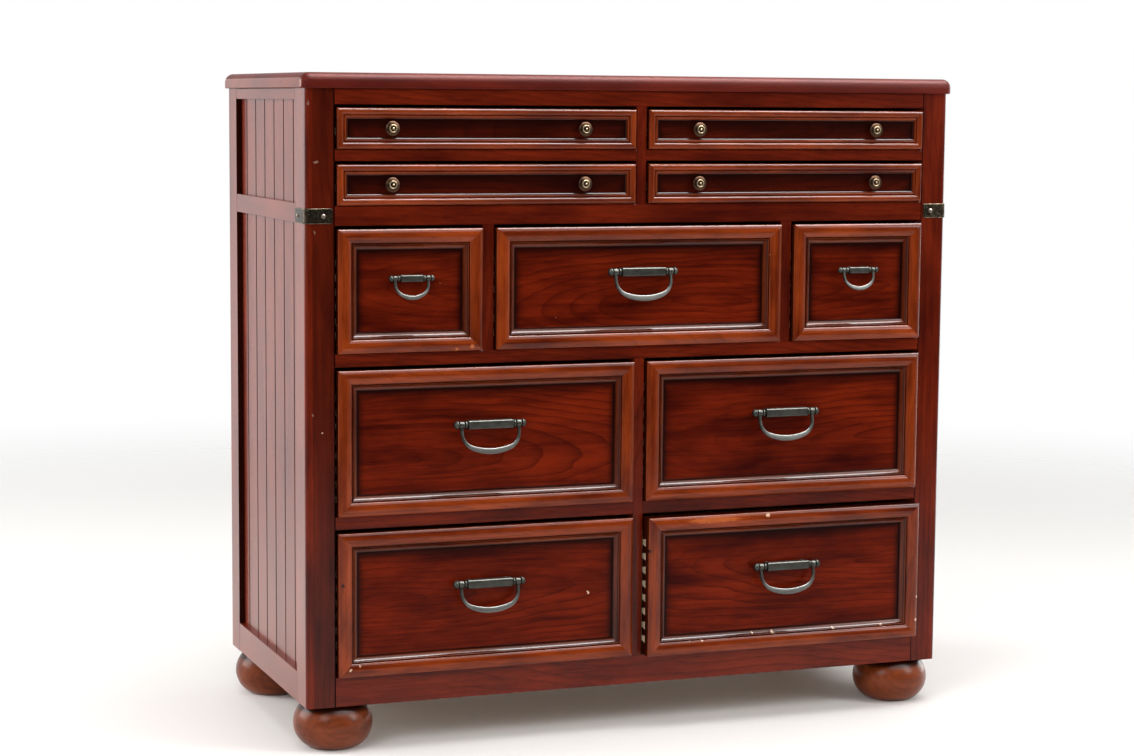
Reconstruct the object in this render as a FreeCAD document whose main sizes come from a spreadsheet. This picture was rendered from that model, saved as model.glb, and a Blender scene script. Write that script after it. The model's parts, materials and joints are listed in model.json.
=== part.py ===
import FreeCAD, Part
import math
import os
import re
import Sketcher

# Dresser with eleven drawers: a frame-and-panel carcass on four bun feet.
# X runs along the front, Y from front to back and Z up, in millimetres.
# The carcass is laid out from its front plane, and everything is then shifted along Y
# so that the origin lies on the floor under the middle of the whole.

# Driving dimensions: name, value in millimetres, degrees or pieces, and meaning
DIMENSIONS = (
    ("post_span", 1143, "width over the corner posts"),
    ("frame_depth", 512, "front plane to the backs of the rear posts"),
    ("foot_height", 76, "height of the bun feet"),
    ("bottom_rail", 48, "height of the bottom rail"),
    ("lower_rail", 21, "height of the short rails between the deep rows"),
    ("middle_rail", 21, "height of the rail under the middle row"),
    ("waist_rail", 31.5, "height of the rail above the middle row"),
    ("upper_rail", 18, "height of the short rails between the shallow rows"),
    ("top_rail", 25, "height of the rail under the top"),
    ("bottom_rail_depth", 25, "front to back thickness of the bottom rail"),
    ("deep_front", 235, "height of a deep drawer front"),
    ("middle_front", 198, "height of a middle drawer front"),
    ("shallow_front", 65, "height of a shallow drawer front"),
    ("wide_opening", 514, "width of the opening in the middle of the middle row"),
    ("gap_above", 5, "clearance over a drawer front"),
    ("gap_below", 1, "clearance under a drawer front"),
    ("gap_beside", 2.5, "clearance beside a drawer"),
    ("guide_gap", 1, "clearance between a drawer side and its guide"),
    ("seat_gap", 0.3, "clearance between a drawer side and its runner"),
    ("ajar", 15, "how far the bottom right drawer stands open"),
    ("arris", 0.6, "easing of the front edges of rails, dividers and posts"),
    ("post_width", 48.5, "front post along X"),
    ("post_depth", 60, "front post along Y"),
    ("post_round", 9, "rounding of the front posts' outer edges"),
    ("rear_post_width", 30, "rear post along X"),
    ("rear_post_depth", 54, "rear post along Y"),
    ("centre_divider", 18, "width of the centre dividers"),
    ("middle_divider", 19, "width of the dividers in the middle row"),
    ("top_thickness", 25, "thickness of the top"),
    ("overhang", 7, "reach of the top past the posts and the front"),
    ("top_round", 15, "rounding of the top's upper edge"),
    ("corner_flat", 1, "corner radius left inside the top's rounded edge"),
    ("under_round", 2.5, "rounding of the top's lower edge"),
    ("side_rail_thickness", 20, "thickness of the side rails"),
    ("side_top_rail", 18, "height of the upper side rails"),
    ("side_waist_rail", 31, "height of the waist side rails"),
    ("waist_lift", 3, "side waist rail's middle above the front waist rail's"),
    ("side_bottom_rail", 50, "height of the bottom side rails"),
    ("panel_recess", 8.5, "side panel's face behind the posts' faces"),
    ("panel_thickness", 8, "thickness of the side panels"),
    ("panel_tongue", 8, "depth of a panel's edge in its frame"),
    ("bead_grooves", 6, "number of grooves in a side panel"),
    ("groove_pitch", 62.6, "distance between the side panels' grooves"),
    ("groove_width", 3, "width of a panel groove"),
    ("groove_depth", 2, "depth of a panel groove"),
    ("runner_height", 18, "height of runners, guide rails and rear rails"),
    ("runner_bearing", 20, "width of runner under a drawer"),
    ("guide_height", 14, "height of the guides on the runners"),
    ("dust_thickness", 4, "thickness of the dust panels"),
    ("dust_tongue", 6, "depth of a dust panel's edge in its frame"),
    ("back_thickness", 6, "thickness of the back panel"),
    ("back_setback", 2, "back panel's face inside the rear posts' backs"),
    ("block_size", 90, "side of a corner block"),
    ("foot_beside", 58.7, "foot's axis from a post's outer face"),
    ("foot_behind", 56.7, "foot's axis from the front plane, or from the rear"),
    ("foot_radius", 65, "largest radius of a foot"),
    ("foot_top", 46, "radius of a foot's upper face"),
    ("foot_base", 38, "radius of a foot's lower face"),
    ("foot_waist", 40, "height of a foot's largest radius"),
    ("bolt_radius", 4, "radius of a foot's bolt"),
    ("bolt_in_block", 24, "length of a foot's bolt in its block"),
    ("bolt_in_foot", 32, "length of a foot's bolt in the foot"),
    ("bolt_fit", 0.05, "clearance round a foot's bolt"),
    ("front_board", 19, "thickness of a drawer's front board"),
    ("side_board", 12, "thickness of a drawer's sides"),
    ("back_board", 12, "thickness of a drawer's back"),
    ("bottom_board", 6, "thickness of a drawer's bottom"),
    ("bottom_groove", 6, "depth of the grooves that hold a drawer's bottom"),
    ("bottom_lift", 10, "drawer's bottom above the lower edges of its sides"),
    ("drawer_clearance", 24, "clearance between a drawer's box and the back panel"),
    ("side_drop", 26, "drawer sides' tops under the top of their front"),
    ("shallow_drop", 14, "the same on a shallow drawer"),
    ("tail_length", 14, "length of a dovetail"),
    ("tail_tip", 12.6, "height of a dovetail at its tip"),
    ("tail_root", 8.6, "height of a dovetail at its root"),
    ("tail_pitch", 23.4, "distance between dovetails"),
    ("first_tail", 22, "lowest dovetail above the side's lower edge"),
    ("last_tail", 5, "least distance from a dovetail to the side's top"),
    ("band_width", 22, "moulding: width of its rounded band"),
    ("band_edge", 9, "moulding: height of the band's edges"),
    ("band_proud", 13.5, "moulding: height of the band's crown"),
    ("quirk_width", 2.2, "moulding: width of the groove beside the band"),
    ("quirk_floor", 6.5, "moulding: height of that groove's floor"),
    ("cove_width", 9.5, "moulding: width of its inner cove"),
    ("cove_edge", 9, "moulding: height of the cove at the groove"),
    ("cove_foot", 1.2, "moulding: height of the cove at the panel"),
    ("cove_radius", 14.2, "moulding: radius of the cove"),
    ("slim_band", 11, "shallow moulding: width of its rounded band"),
    ("slim_edge", 4.5, "shallow moulding: height of the band's edges"),
    ("slim_proud", 8.5, "shallow moulding: height of the band's crown"),
    ("slim_quirk", 1, "shallow moulding: width of each groove"),
    ("slim_floor", 2.4, "shallow moulding: height of the grooves' floors"),
    ("slim_bead", 3, "shallow moulding: width of its bead"),
    ("slim_bead_edge", 3.8, "shallow moulding: height of the bead's edges"),
    ("slim_bead_crown", 0.6, "shallow moulding: rise of the bead"),
    ("slim_cove", 2.5, "shallow moulding: width of its inner edge"),
    ("slim_cove_edge", 3.2, "shallow moulding: height of the inner edge"),
    ("slim_cove_foot", 0.8, "shallow moulding: height at the panel"),
    ("slim_cove_radius", 4, "shallow moulding: radius of the inner edge"),
    ("saw_margin", 5, "reach of a mitre cut past its stick"),
    ("knob_place", 164, "knobs from the middle of their drawer"),
    ("knob_radius", 12, "radius of a knob"),
    ("knob_foot_radius", 7.5, "radius of a knob's foot"),
    ("knob_foot", 1.5, "thickness of a knob's foot"),
    ("knob_neck", 4.8, "radius of a knob's neck"),
    ("knob_standoff", 5.5, "back of a knob's disc from the front board"),
    ("knob_rim", 3.2, "thickness of a knob's rim"),
    ("knob_rim_round", 1, "rounding of a knob's rim"),
    ("knob_slope", 1.6, "rise of a knob's face from rim to groove"),
    ("knob_groove_radius", 7.8, "outer radius of the groove in a knob's face"),
    ("knob_groove_width", 1, "width of that groove"),
    ("knob_groove_depth", 1.2, "depth of that groove"),
    ("knob_ring_rise", 1.6, "knob's raised ring above its face"),
    ("knob_ring_crown", 0.6, "rounding of the raised ring"),
    ("knob_ring_width", 2.2, "width of the raised ring"),
    ("knob_well", 1.3, "depth of the well inside the raised ring"),
    ("knob_boss_radius", 2.6, "radius of the boss in the well"),
    ("knob_boss_rise", 2.8, "height of the boss above the well"),
    ("knob_bore", 9, "depth of a knob's screw hole"),
    ("screw_radius", 2, "radius of the screws behind knobs and pulls"),
    ("screw_head", 4, "radius of their heads"),
    ("screw_head_height", 2.5, "height of their heads"),
    ("screw_fit", 0.03, "clearance round a screw in metal"),
    ("screw_ease", 0.25, "clearance round a screw in wood"),
    ("screw_wall", 0.7, "metal between a screw's tip and the bail's pin"),
    ("flange", 1.5, "thickness of a pull post's flange"),
    ("rim_round", 1.1, "rounding of the pulls' collars and finials"),
    ("eye_gap", 1.5, "side play of a bail's eye"),
    ("eye_fit", 0.06, "clearance between a bail's eye and its pin"),
    ("pin_fit", 0.05, "clearance between a pin and its finial"),
    ("bail_tilt", 12, "bails' lean out from plumb, in degrees"),
    ("large_out", 11.5, "large pull: axis from the front board"),
    ("large_lift", 24, "large pull: axis above the middle of its front"),
    ("large_flats", 14.2, "large pull: barrel across its flats"),
    ("large_chamfer", 1.5, "large pull: chamfer along the barrel's edges"),
    ("large_barrel", 38, "large pull: half length of the barrel"),
    ("large_neck", 2, "large pull: length of a neck"),
    ("large_neck_radius", 4.8, "large pull: radius of a neck"),
    ("large_collar", 3.5, "large pull: length of a collar"),
    ("large_collar_radius", 6.6, "large pull: radius of a collar"),
    ("large_pin", 3, "large pull: radius of a pin"),
    ("large_tenon", 5, "large pull: pin's end in its finial"),
    ("large_finial", 8, "large pull: length of a finial"),
    ("large_finial_radius", 7, "large pull: radius of a finial"),
    ("large_posts", 33, "large pull: posts from the middle"),
    ("large_post_radius", 4.5, "large pull: radius of a post"),
    ("large_flange_radius", 6.5, "large pull: radius of a post's flange"),
    ("large_eye", 8, "large bail: length of an eye"),
    ("large_eye_radius", 6.2, "large bail: radius of an eye"),
    ("large_arm", 4.6, "large bail: width of an arm"),
    ("large_flare", 1.6, "large bail: widening of an arm at its eye, each side"),
    ("large_flare_drop", 12, "large bail: length of that widening"),
    ("large_drop", 49, "large bail: axis to the lowest edge"),
    ("large_bow", 9.5, "large bail: height of the bow"),
    ("large_corner", 31, "large bail: outer radius of a corner"),
    ("large_sag", 4, "large bail: sag of the bow below its corners"),
    ("large_band", 5, "large bail: thickness"),
    ("large_edge", 1.8, "large bail: rounding of its edges"),
    ("small_out", 10, "small pull: axis from the front board"),
    ("small_lift", 20, "small pull: axis above the middle of its front"),
    ("small_flats", 10.8, "small pull: barrel across its flats"),
    ("small_chamfer", 1.2, "small pull: chamfer along the barrel's edges"),
    ("small_barrel", 17.8, "small pull: half length of the barrel"),
    ("small_neck", 1.7, "small pull: length of a neck"),
    ("small_neck_radius", 3.3, "small pull: radius of a neck"),
    ("small_collar", 3.8, "small pull: length of a collar"),
    ("small_collar_radius", 5, "small pull: radius of a collar"),
    ("small_pin", 2.4, "small pull: radius of a pin"),
    ("small_tenon", 4, "small pull: pin's end in its finial"),
    ("small_finial", 6.4, "small pull: length of a finial"),
    ("small_finial_radius", 5.3, "small pull: radius of a finial"),
    ("small_posts", 13, "small pull: posts from the middle"),
    ("small_post_radius", 3.6, "small pull: radius of a post"),
    ("small_flange_radius", 5.4, "small pull: radius of a post's flange"),
    ("small_eye", 5.8, "small bail: length of an eye"),
    ("small_eye_radius", 4.8, "small bail: radius of an eye"),
    ("small_arm", 4, "small bail: width of an arm"),
    ("small_flare", 0.8, "small bail: widening of an arm at its eye, each side"),
    ("small_flare_drop", 9, "small bail: length of that widening"),
    ("small_drop", 35, "small bail: axis to the lowest edge"),
    ("small_bow", 6.8, "small bail: height of the bow"),
    ("small_corner", 22, "small bail: outer radius of a corner"),
    ("small_sag", 3, "small bail: sag of the bow below its corners"),
    ("small_band", 4.2, "small bail: thickness"),
    ("small_edge", 1.5, "small bail: rounding of its edges"),
    ("strap_thickness", 2, "thickness of a corner strap"),
    ("strap_height", 24, "height of a corner strap"),
    ("strap_front", 44, "strap's front leg from the post's outer face"),
    ("strap_side", 54, "strap's side leg from the front plane"),
    ("strap_ease", 1, "post's rounding less the strap's inner bend"),
    ("strap_screw_front", 29.5, "front screw from the post's outer face"),
    ("strap_screw_side", 38, "side screw from the front plane"),
    ("tack_radius", 1.5, "radius of a strap screw"),
    ("tack_length", 16, "length of a strap screw under its head"),
    ("tack_head", 4, "radius of a strap screw's head"),
    ("tack_head_height", 2.5, "height of a strap screw's head"),
    ("tack_fit", 0.05, "clearance round a strap screw"),
)

# Places that follow from the driving dimensions
PLACES = {
    "half_span": "post_span / 2",
    "half_opening": "half_span - post_width",
    "half_back": "half_span - rear_post_width",
    "side_inside": "half_span - side_rail_thickness",
    "rear_face": "frame_depth - rear_post_depth",
    "back_face": "frame_depth - back_setback - back_thickness",
    "drawer_depth": "back_face - drawer_clearance",
    "deep_opening": "gap_below + deep_front + gap_above",
    "shallow_opening": "gap_below + shallow_front + gap_above",
    "bottom_opening": "foot_height + bottom_rail",
    "lower_opening": "bottom_opening + deep_opening + lower_rail",
    "middle_opening": "lower_opening + deep_opening + middle_rail",
    "waist_bottom": "middle_opening + gap_below + middle_front + gap_above",
    "second_opening": "waist_bottom + waist_rail",
    "upper_opening": "second_opening + shallow_opening + upper_rail",
    "top_rail_bottom": "upper_opening + shallow_opening",
    "carcass_top": "top_rail_bottom + top_rail",
    "waist_middle": "waist_bottom + waist_rail / 2",
    "long_front": "half_opening - centre_divider / 2 - 2 * gap_beside",
    "wide_front": "wide_opening - 2 * gap_beside",
    "small_front": "half_opening - wide_opening / 2 - middle_divider - 2 * gap_beside",
    "long_place": "half_opening - gap_beside - long_front / 2",
    "small_place": "half_opening - gap_beside - small_front / 2",
    "divider_place": "(wide_opening + middle_divider) / 2",
    "outer_bearing": "half_opening - gap_beside - runner_bearing",
    "outer_guide": "half_opening - gap_beside + guide_gap",
    "side_bottom": "seat_gap - gap_below",
    "board_bottom": "side_bottom + bottom_lift",
    "foot_x": "half_span - foot_beside",
    "foot_front": "foot_behind",
    "foot_rear": "frame_depth - foot_behind",
    "moulding_width": "band_width + quirk_width + cove_width",
    "slim_inner": "slim_band + slim_quirk + slim_bead",
    "slim_width": "slim_inner + slim_quirk + slim_cove",
    "bail_reach": "(large_band / 2 - large_edge) * cos(bail_tilt)"
                  " + (large_drop - large_edge) * sin(bail_tilt) + large_edge",
    "front_reach": "ajar + large_out + bail_reach",
    "rear_reach": "foot_rear + foot_radius",
    "y_origin": "(front_reach - rear_reach) / 2",
}

# Drawers: name, pattern, middle along X, and the opening's floor
DRAWERS = (
    ("upper_left", "shallow", "-long_place", "upper_opening"),
    ("upper_right", "shallow", "long_place", "upper_opening"),
    ("second_left", "shallow", "-long_place", "second_opening"),
    ("second_right", "shallow", "long_place", "second_opening"),
    ("middle_left", "small", "-small_place", "middle_opening"),
    ("middle_centre", "wide", "0", "middle_opening"),
    ("middle_right", "small", "small_place", "middle_opening"),
    ("lower_left", "deep", "-long_place", "lower_opening"),
    ("lower_right", "deep", "long_place", "lower_opening"),
    ("bottom_left", "deep", "-long_place", "bottom_opening"),
    ("bottom_right", "deep", "long_place", "bottom_opening"),
)

# Drawer patterns: width and height of the front, drop of the sides, and the pull
PATTERNS = {
    "shallow": ("long_front", "shallow_front", "shallow_drop", None),
    "small": ("small_front", "middle_front", "side_drop", "small"),
    "wide": ("wide_front", "middle_front", "side_drop", "large"),
    "deep": ("long_front", "deep_front", "side_drop", "large"),
}

# Runner levels: name, top of the runners, and the row's supports between the ends
LEVELS = (
    ("bottom", "bottom_opening", "halves"),
    ("lower", "lower_opening", "halves"),
    ("middle", "middle_opening", "thirds"),
    ("waist", "second_opening", "halves"),
    ("upper", "upper_opening", "halves"),
)

# Supports between the ends of a row: middle along X and width of the divider
SUPPORTS = {
    "halves": (("0", "centre_divider"),),
    "thirds": (("-divider_place", "middle_divider"), ("divider_place", "middle_divider")),
}

NAMES = re.compile(r"\b(?:" + "|".join([row[0] for row in DIMENSIONS] + list(PLACES)) + r")\b")
X_AXIS = FreeCAD.Vector(1, 0, 0)
Y_AXIS = FreeCAD.Vector(0, 1, 0)
Z_AXIS = FreeCAD.Vector(0, 0, 1)
INTO_BACK = FreeCAD.Rotation(X_AXIS, -90)
OUT_OF_FRONT = FreeCAD.Rotation(X_AXIS, 90)
INTO_LEFT_SIDE = FreeCAD.Rotation(Y_AXIS, 90)
OUT_OF_LEFT_SIDE = FreeCAD.Rotation(Y_AXIS, -90)
UPRIGHT = FreeCAD.Rotation(Y_AXIS, 90)
SECTION_PLANES = {"x": "YZ_Plane", "y": "XZ_Plane", "z": "XY_Plane"}
NEAR = 1e-6

doc = FreeCAD.newDocument("Dresser")
sheet = doc.addObject("Spreadsheet::Sheet", "Sizes")
nodes = []


# Expressions

def bound(text):
    """Expression text with every name replaced by its cell, and worked-out places opened up."""
    def cell(match):
        name = match.group(0)
        if name in PLACES:
            return "(" + bound(PLACES[name]) + ")"
        return "Sizes." + name
    return NAMES.sub(cell, text)


def size(text):
    """Present value of an expression."""
    return float(sheet.evalExpression(bound(text)))


def arc_radius(chord, rise):
    """Radius of the arc that rises by rise over chord."""
    return f"((({chord}) / 2) ^ 2 + ({rise}) ^ 2) / (2 * ({rise}))"


def quarter_radius(run, rise):
    """Radius of the arc that starts along rise and has moved aside by run when it has climbed rise."""
    return f"(({run}) ^ 2 + ({rise}) ^ 2) / (2 * ({run}))"


def fill_sheet():
    """Write each driving dimension into its row: name, value with its alias, and meaning."""
    for row, (name, value, meaning) in enumerate(DIMENSIONS, 1):
        sheet.set(f"A{row}", name)
        sheet.set(f"B{row}", str(value))
        sheet.setAlias(f"B{row}", name)
        sheet.set(f"C{row}", meaning)
    doc.recompute()


# Sketches and features

def sketch_on(part, role):
    """Empty sketch on one of the body's own origin planes."""
    plane = next(item for item in part.Origin.OriginFeatures if item.Role == role)
    sketch = part.newObject("Sketcher::SketchObject", part.Name + "_sketch")
    sketch.AttachmentSupport = (plane, [""])
    sketch.MapMode = "FlatFace"
    return sketch


def origin_axis(part, role):
    """One of the body's own axes, as a feature's reference."""
    return (next(item for item in part.Origin.OriginFeatures if item.Role == role), [""])


def bulged(here, there, side, radius):
    """Arc from here to there that bulges to the given side of that direction."""
    chord = there - here
    aside = math.sqrt(max(radius ** 2 - (chord.Length / 2) ** 2, 0))
    left = FreeCAD.Vector(-chord.y, chord.x, 0).normalize()
    middle = (here + there) / 2 + left * (aside if side == "right" else -aside)
    circle = Part.Circle(middle, Z_AXIS, radius)
    first, last = (here, there) if side == "right" else (there, here)
    angles = [math.atan2(spot.y - middle.y, spot.x - middle.x) for spot in (first, last)]
    return Part.ArcOfCircle(circle, angles[0], angles[1])


def outline(sketch, corners, arcs=None):
    """Closed outline through corners, with every corner and radius tied to the sheet.

    arcs gives the side and radius of each stretch that is an arc, by its first corner's number.
    """
    arcs = arcs or {}
    base = sketch.GeometryCount
    count = len(corners)
    spots = [FreeCAD.Vector(size(x), size(y), 0) for x, y in corners]
    ends = []
    for i, here in enumerate(spots):
        there = spots[(i + 1) % count]
        side, radius = arcs.get(i, (None, None))
        shape = bulged(here, there, side, size(radius)) if side else Part.LineSegment(here, there)
        sketch.addGeometry(shape)
        ends.append((2, 1) if side == "left" else (1, 2))
    for i in range(count):
        following = (i + 1) % count
        sketch.addConstraint(
            Sketcher.Constraint("Coincident", base + i, ends[i][1], base + following, ends[following][0]))
    for i, corner in enumerate(corners):
        for kind, text, value in zip(("DistanceX", "DistanceY"), corner, spots[i][:2]):
            index = sketch.addConstraint(
                Sketcher.Constraint(kind, -1, 1, base + i, ends[i][0], value))
            tie(sketch, index, f"{kind}{base + i}", text)
    for i, (side, radius) in arcs.items():
        index = sketch.addConstraint(Sketcher.Constraint("Radius", base + i, size(radius)))
        tie(sketch, index, f"Radius{base + i}", radius)


def ring(sketch, radius):
    """Circle about the sketch's origin."""
    index = sketch.addGeometry(Part.Circle(FreeCAD.Vector(), Z_AXIS, size(radius)))
    sketch.addConstraint(Sketcher.Constraint("Coincident", index, 3, -1, 1))
    constraint = sketch.addConstraint(Sketcher.Constraint("Radius", index, size(radius)))
    tie(sketch, constraint, f"Radius{index}", radius)


def tie(sketch, index, name, text):
    """Name a constraint and bind it to the sheet."""
    sketch.renameConstraint(index, name)
    sketch.setExpression("Constraints." + name, bound(text))


def pad(part, sketch, length, both=False, back=False):
    """Pad a sketch, to both sides or backwards if asked."""
    made = part.newObject("PartDesign::Pad", part.Name + "_pad")
    made.Profile = sketch
    made.setExpression("Length", bound(length))
    made.SideType = "Symmetric" if both else "One side"
    made.Reversed = back
    return made


def cut_through(part, sketch):
    """Pocket a sketch right through the body, to both sides."""
    made = part.newObject("PartDesign::Pocket", part.Name + "_pocket")
    made.Profile = sketch
    made.SideType = "Symmetric"
    made.Type = "ThroughAll"
    return made


def turn(part, sketch, role):
    """Revolve a sketch about one of the body's own axes."""
    made = part.newObject("PartDesign::Revolution", part.Name + "_turning")
    made.Profile = sketch
    made.ReferenceAxis = origin_axis(part, role)
    made.Angle = 360
    return made


def repeat(part, feature, role, spacing, count):
    """Repeat a feature along one of the body's own axes."""
    made = part.newObject("PartDesign::LinearPattern", part.Name + "_row")
    made.Originals = [feature]
    made.Direction = origin_axis(part, role)
    made.Mode = "Spacing"
    made.setExpression("Offset", bound(spacing))
    made.setExpression("Occurrences", bound(count))
    part.Tip = made
    return made


def reflect(part, feature):
    """Repeat a feature on the other side of the body's YZ plane."""
    made = part.newObject("PartDesign::Mirrored", part.Name + "_reflection")
    made.Originals = [feature]
    made.MirrorPlane = origin_axis(part, "YZ_Plane")
    part.Tip = made
    return made


def rounded(part, base, radius, wanted):
    """Fillet those edges of a feature that wanted picks by their ends."""
    doc.recompute()
    names = []
    for number, edge in enumerate(base.Shape.Edges, 1):
        if wanted([vertex.Point for vertex in edge.Vertexes]):
            names.append(f"Edge{number}")
    made = part.newObject("PartDesign::Fillet", part.Name + "_round")
    made.Base = (base, names)
    made.setExpression("Radius", bound(radius))
    return made


# Pieces and groups

def body(name):
    """Empty body."""
    return doc.addObject("PartDesign::Body", name)


def place(thing, x="0", y="0", z="0"):
    """Bind a thing's place to the sheet."""
    for axis, text in zip("xyz", (x, y, z)):
        thing.setExpression("Placement.Base." + axis, bound(text))
    return thing


def block(name, x, y, z):
    """Plain board between a low and a high place on each axis."""
    made = doc.addObject("Part::Box", name)
    for side, (low, high) in zip(("Length", "Width", "Height"), (x, y, z)):
        made.setExpression(side, bound(f"({high}) - ({low})"))
    return place(made, x[0], y[0], z[0])


def drill(name, radius, length, spot, heading=FreeCAD.Rotation()):
    """Cylinder that starts at a spot and runs along the turned Z axis."""
    made = doc.addObject("Part::Cylinder", name)
    made.setExpression("Radius", bound(radius))
    made.setExpression("Height", bound(length))
    made.Placement.Rotation = heading
    return place(made, *spot)


def bar(name, axis, low, high, corners, arcs=None):
    """Straight bar of one section, from low to high along one axis."""
    part = body(name)
    section = sketch_on(part, SECTION_PLANES[axis])
    outline(section, corners, arcs)
    pad(part, section, f"({high}) - ({low})", back=(axis == "y"))
    part.setExpression("Placement.Base." + axis, bound(low))
    return part


def group(name, pieces):
    """Several pieces as one object."""
    made = doc.addObject("Part::Compound", name)
    made.Links = pieces
    return made


def cut(name, base, cutters):
    """Base without what the cutters take away."""
    made = doc.addObject("Part::Cut", name)
    made.Base = base
    made.Tool = cutters[0] if len(cutters) == 1 else group(name + "_cutters", cutters)
    return made


def mirror(name, source, normal=X_AXIS, height="0"):
    """Mirror image of a piece in a plane through the given height on the Z axis."""
    made = doc.addObject("Part::Mirroring", name)
    made.Source = source
    made.Normal = normal
    made.setExpression("Base.z", bound(height))
    return made


def copy(name, source, spot, heading=None):
    """Further copy of a piece at its own place."""
    made = doc.addObject("App::Link", name)
    made.LinkedObject = source
    if heading:
        made.Placement.Rotation = heading
    return place(made, *spot)


def node(thing):
    """Note a finished sub-part, whose label names its file."""
    nodes.append(thing)
    return thing


def carcass_node(name, pieces):
    """Sub-part of the carcass, shifted from the front plane to the common origin."""
    return node(place(group(name, pieces), y="y_origin"))


def nosed(low, high, depth):
    """Section with two eased front edges, as pairs of place across and distance from the front."""
    return [
        (f"{low} + arris", "0"),
        (f"{high} - arris", "0"),
        (high, "arris"),
        (high, depth),
        (low, depth),
        (low, "arris"),
    ]


def flipped(pairs):
    """The same pairs with their two values exchanged."""
    return [(second, first) for first, second in pairs]


# Carcass

def make_side_frames():
    """Posts, side rails and grooved side panels; the right side mirrors the left."""
    waist_low = "waist_middle + waist_lift - side_waist_rail / 2"
    waist_high = "waist_middle + waist_lift + side_waist_rail / 2"
    rails = (
        ("side_bottom", "foot_height", "foot_height + side_bottom_rail"),
        ("side_waist", waist_low, waist_high),
        ("side_top", "carcass_top - side_top_rail", "carcass_top"),
    )
    panels = (
        ("lower_panel", "foot_height + side_bottom_rail - panel_tongue", f"{waist_low} + panel_tongue"),
        ("upper_panel", f"{waist_high} - panel_tongue", "carcass_top - side_top_rail + panel_tongue"),
    )
    blanks = []
    boards = []
    for name, low, high in panels:
        x = ("panel_recess - half_span", "panel_recess + panel_thickness - half_span")
        y = ("post_depth - panel_tongue", "rear_face + panel_tongue")
        blanks.append(block(name + "_blank", x, y, (low, high)))
        boards.append(side_panel(name, low, high))
    rail_pieces = []
    for name, low, high in rails:
        section = flipped(nosed(low, high, "side_rail_thickness"))
        rail = bar(name + "_bar", "y", "post_depth", "rear_face", section)
        rail.setExpression("Placement.Base.x", bound("-half_span"))
        rail_pieces.append(cut(name, rail, blanks))
    posts = (front_post(blanks), rear_post(blanks))
    carcass_node("side_rails", both_sides(rail_pieces))
    carcass_node("side_panels", both_sides(boards))
    for post, name in zip(posts, ("front_post", "rear_post")):
        carcass_node("left_" + name, [post])
        carcass_node("right_" + name, [mirror("right_" + name + "_piece", post)])


def both_sides(pieces):
    """The pieces of the left side with their mirror images."""
    return pieces + [mirror("right_" + piece.Name, piece) for piece in pieces]


def side_panel(name, low, high):
    """Left side panel with a row of V grooves in its outer face."""
    inner = "panel_recess + panel_thickness"
    front = "post_depth - panel_tongue"
    back = "rear_face + panel_tongue"
    corners = [("panel_recess", front), (inner, front), (inner, back), ("panel_recess", back)]
    part = bar(name, "z", low, high, corners)
    first = "(post_depth + rear_face - groove_pitch * (bead_grooves - 1)) / 2"
    groove = sketch_on(part, "XY_Plane")
    outline(groove, [
        ("panel_recess + groove_depth", first),
        ("panel_recess - groove_depth", f"{first} + groove_width"),
        ("panel_recess - groove_depth", f"{first} - groove_width"),
    ])
    repeat(part, cut_through(part, groove), "Y_Axis", "groove_pitch", "bead_grooves")
    part.setExpression("Placement.Base.x", bound("-half_span"))
    return part


def front_post(blanks):
    """Left front post with its rounded corner, grooves and pilot holes."""
    corners = [
        ("post_round", "0"),
        ("post_width - arris", "0"),
        ("post_width", "arris"),
        ("post_width", "post_depth"),
        ("0", "post_depth"),
        ("0", "post_round"),
    ]
    post = bar("front_post_bar", "z", "foot_height", "carcass_top", corners, {5: ("right", "post_round")})
    post.setExpression("Placement.Base.x", bound("-half_span"))
    return cut("front_post", post, blanks + strap_holes("pilot"))


def rear_post(blanks):
    """Left rear post with its grooves."""
    x = ("-half_span", "-half_back")
    post = block("rear_post_bar", x, ("rear_face", "frame_depth"), ("foot_height", "carcass_top"))
    return cut("rear_post", post, blanks)


def make_top():
    """Top with rounded front corners and a rounded edge on three sides."""
    half = "half_span + overhang"
    corner = "top_round + corner_flat"
    corners = [
        (f"{corner} - ({half})", "-overhang"),
        (f"{half} - ({corner})", "-overhang"),
        (half, f"{corner} - overhang"),
        (half, "frame_depth"),
        (f"-({half})", "frame_depth"),
        (f"-({half})", f"{corner} - overhang"),
    ]
    arcs = {1: ("right", corner), 5: ("right", corner)}
    part = bar("top_board", "z", "carcass_top", "carcass_top + top_thickness", corners, arcs)
    back = size("frame_depth")
    thick = size("top_thickness")

    def shown_edge(level):
        """Test for an edge that lies at one level and not along the back."""
        def wanted(points):
            flat = all(abs(point.z - level) < NEAR for point in points)
            return flat and any(abs(point.y - back) > NEAR for point in points)
        return wanted

    upper = rounded(part, part.Tip, "top_round", shown_edge(thick))
    rounded(part, upper, "under_round", shown_edge(0))
    carcass_node("top_panel", [part])


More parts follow.
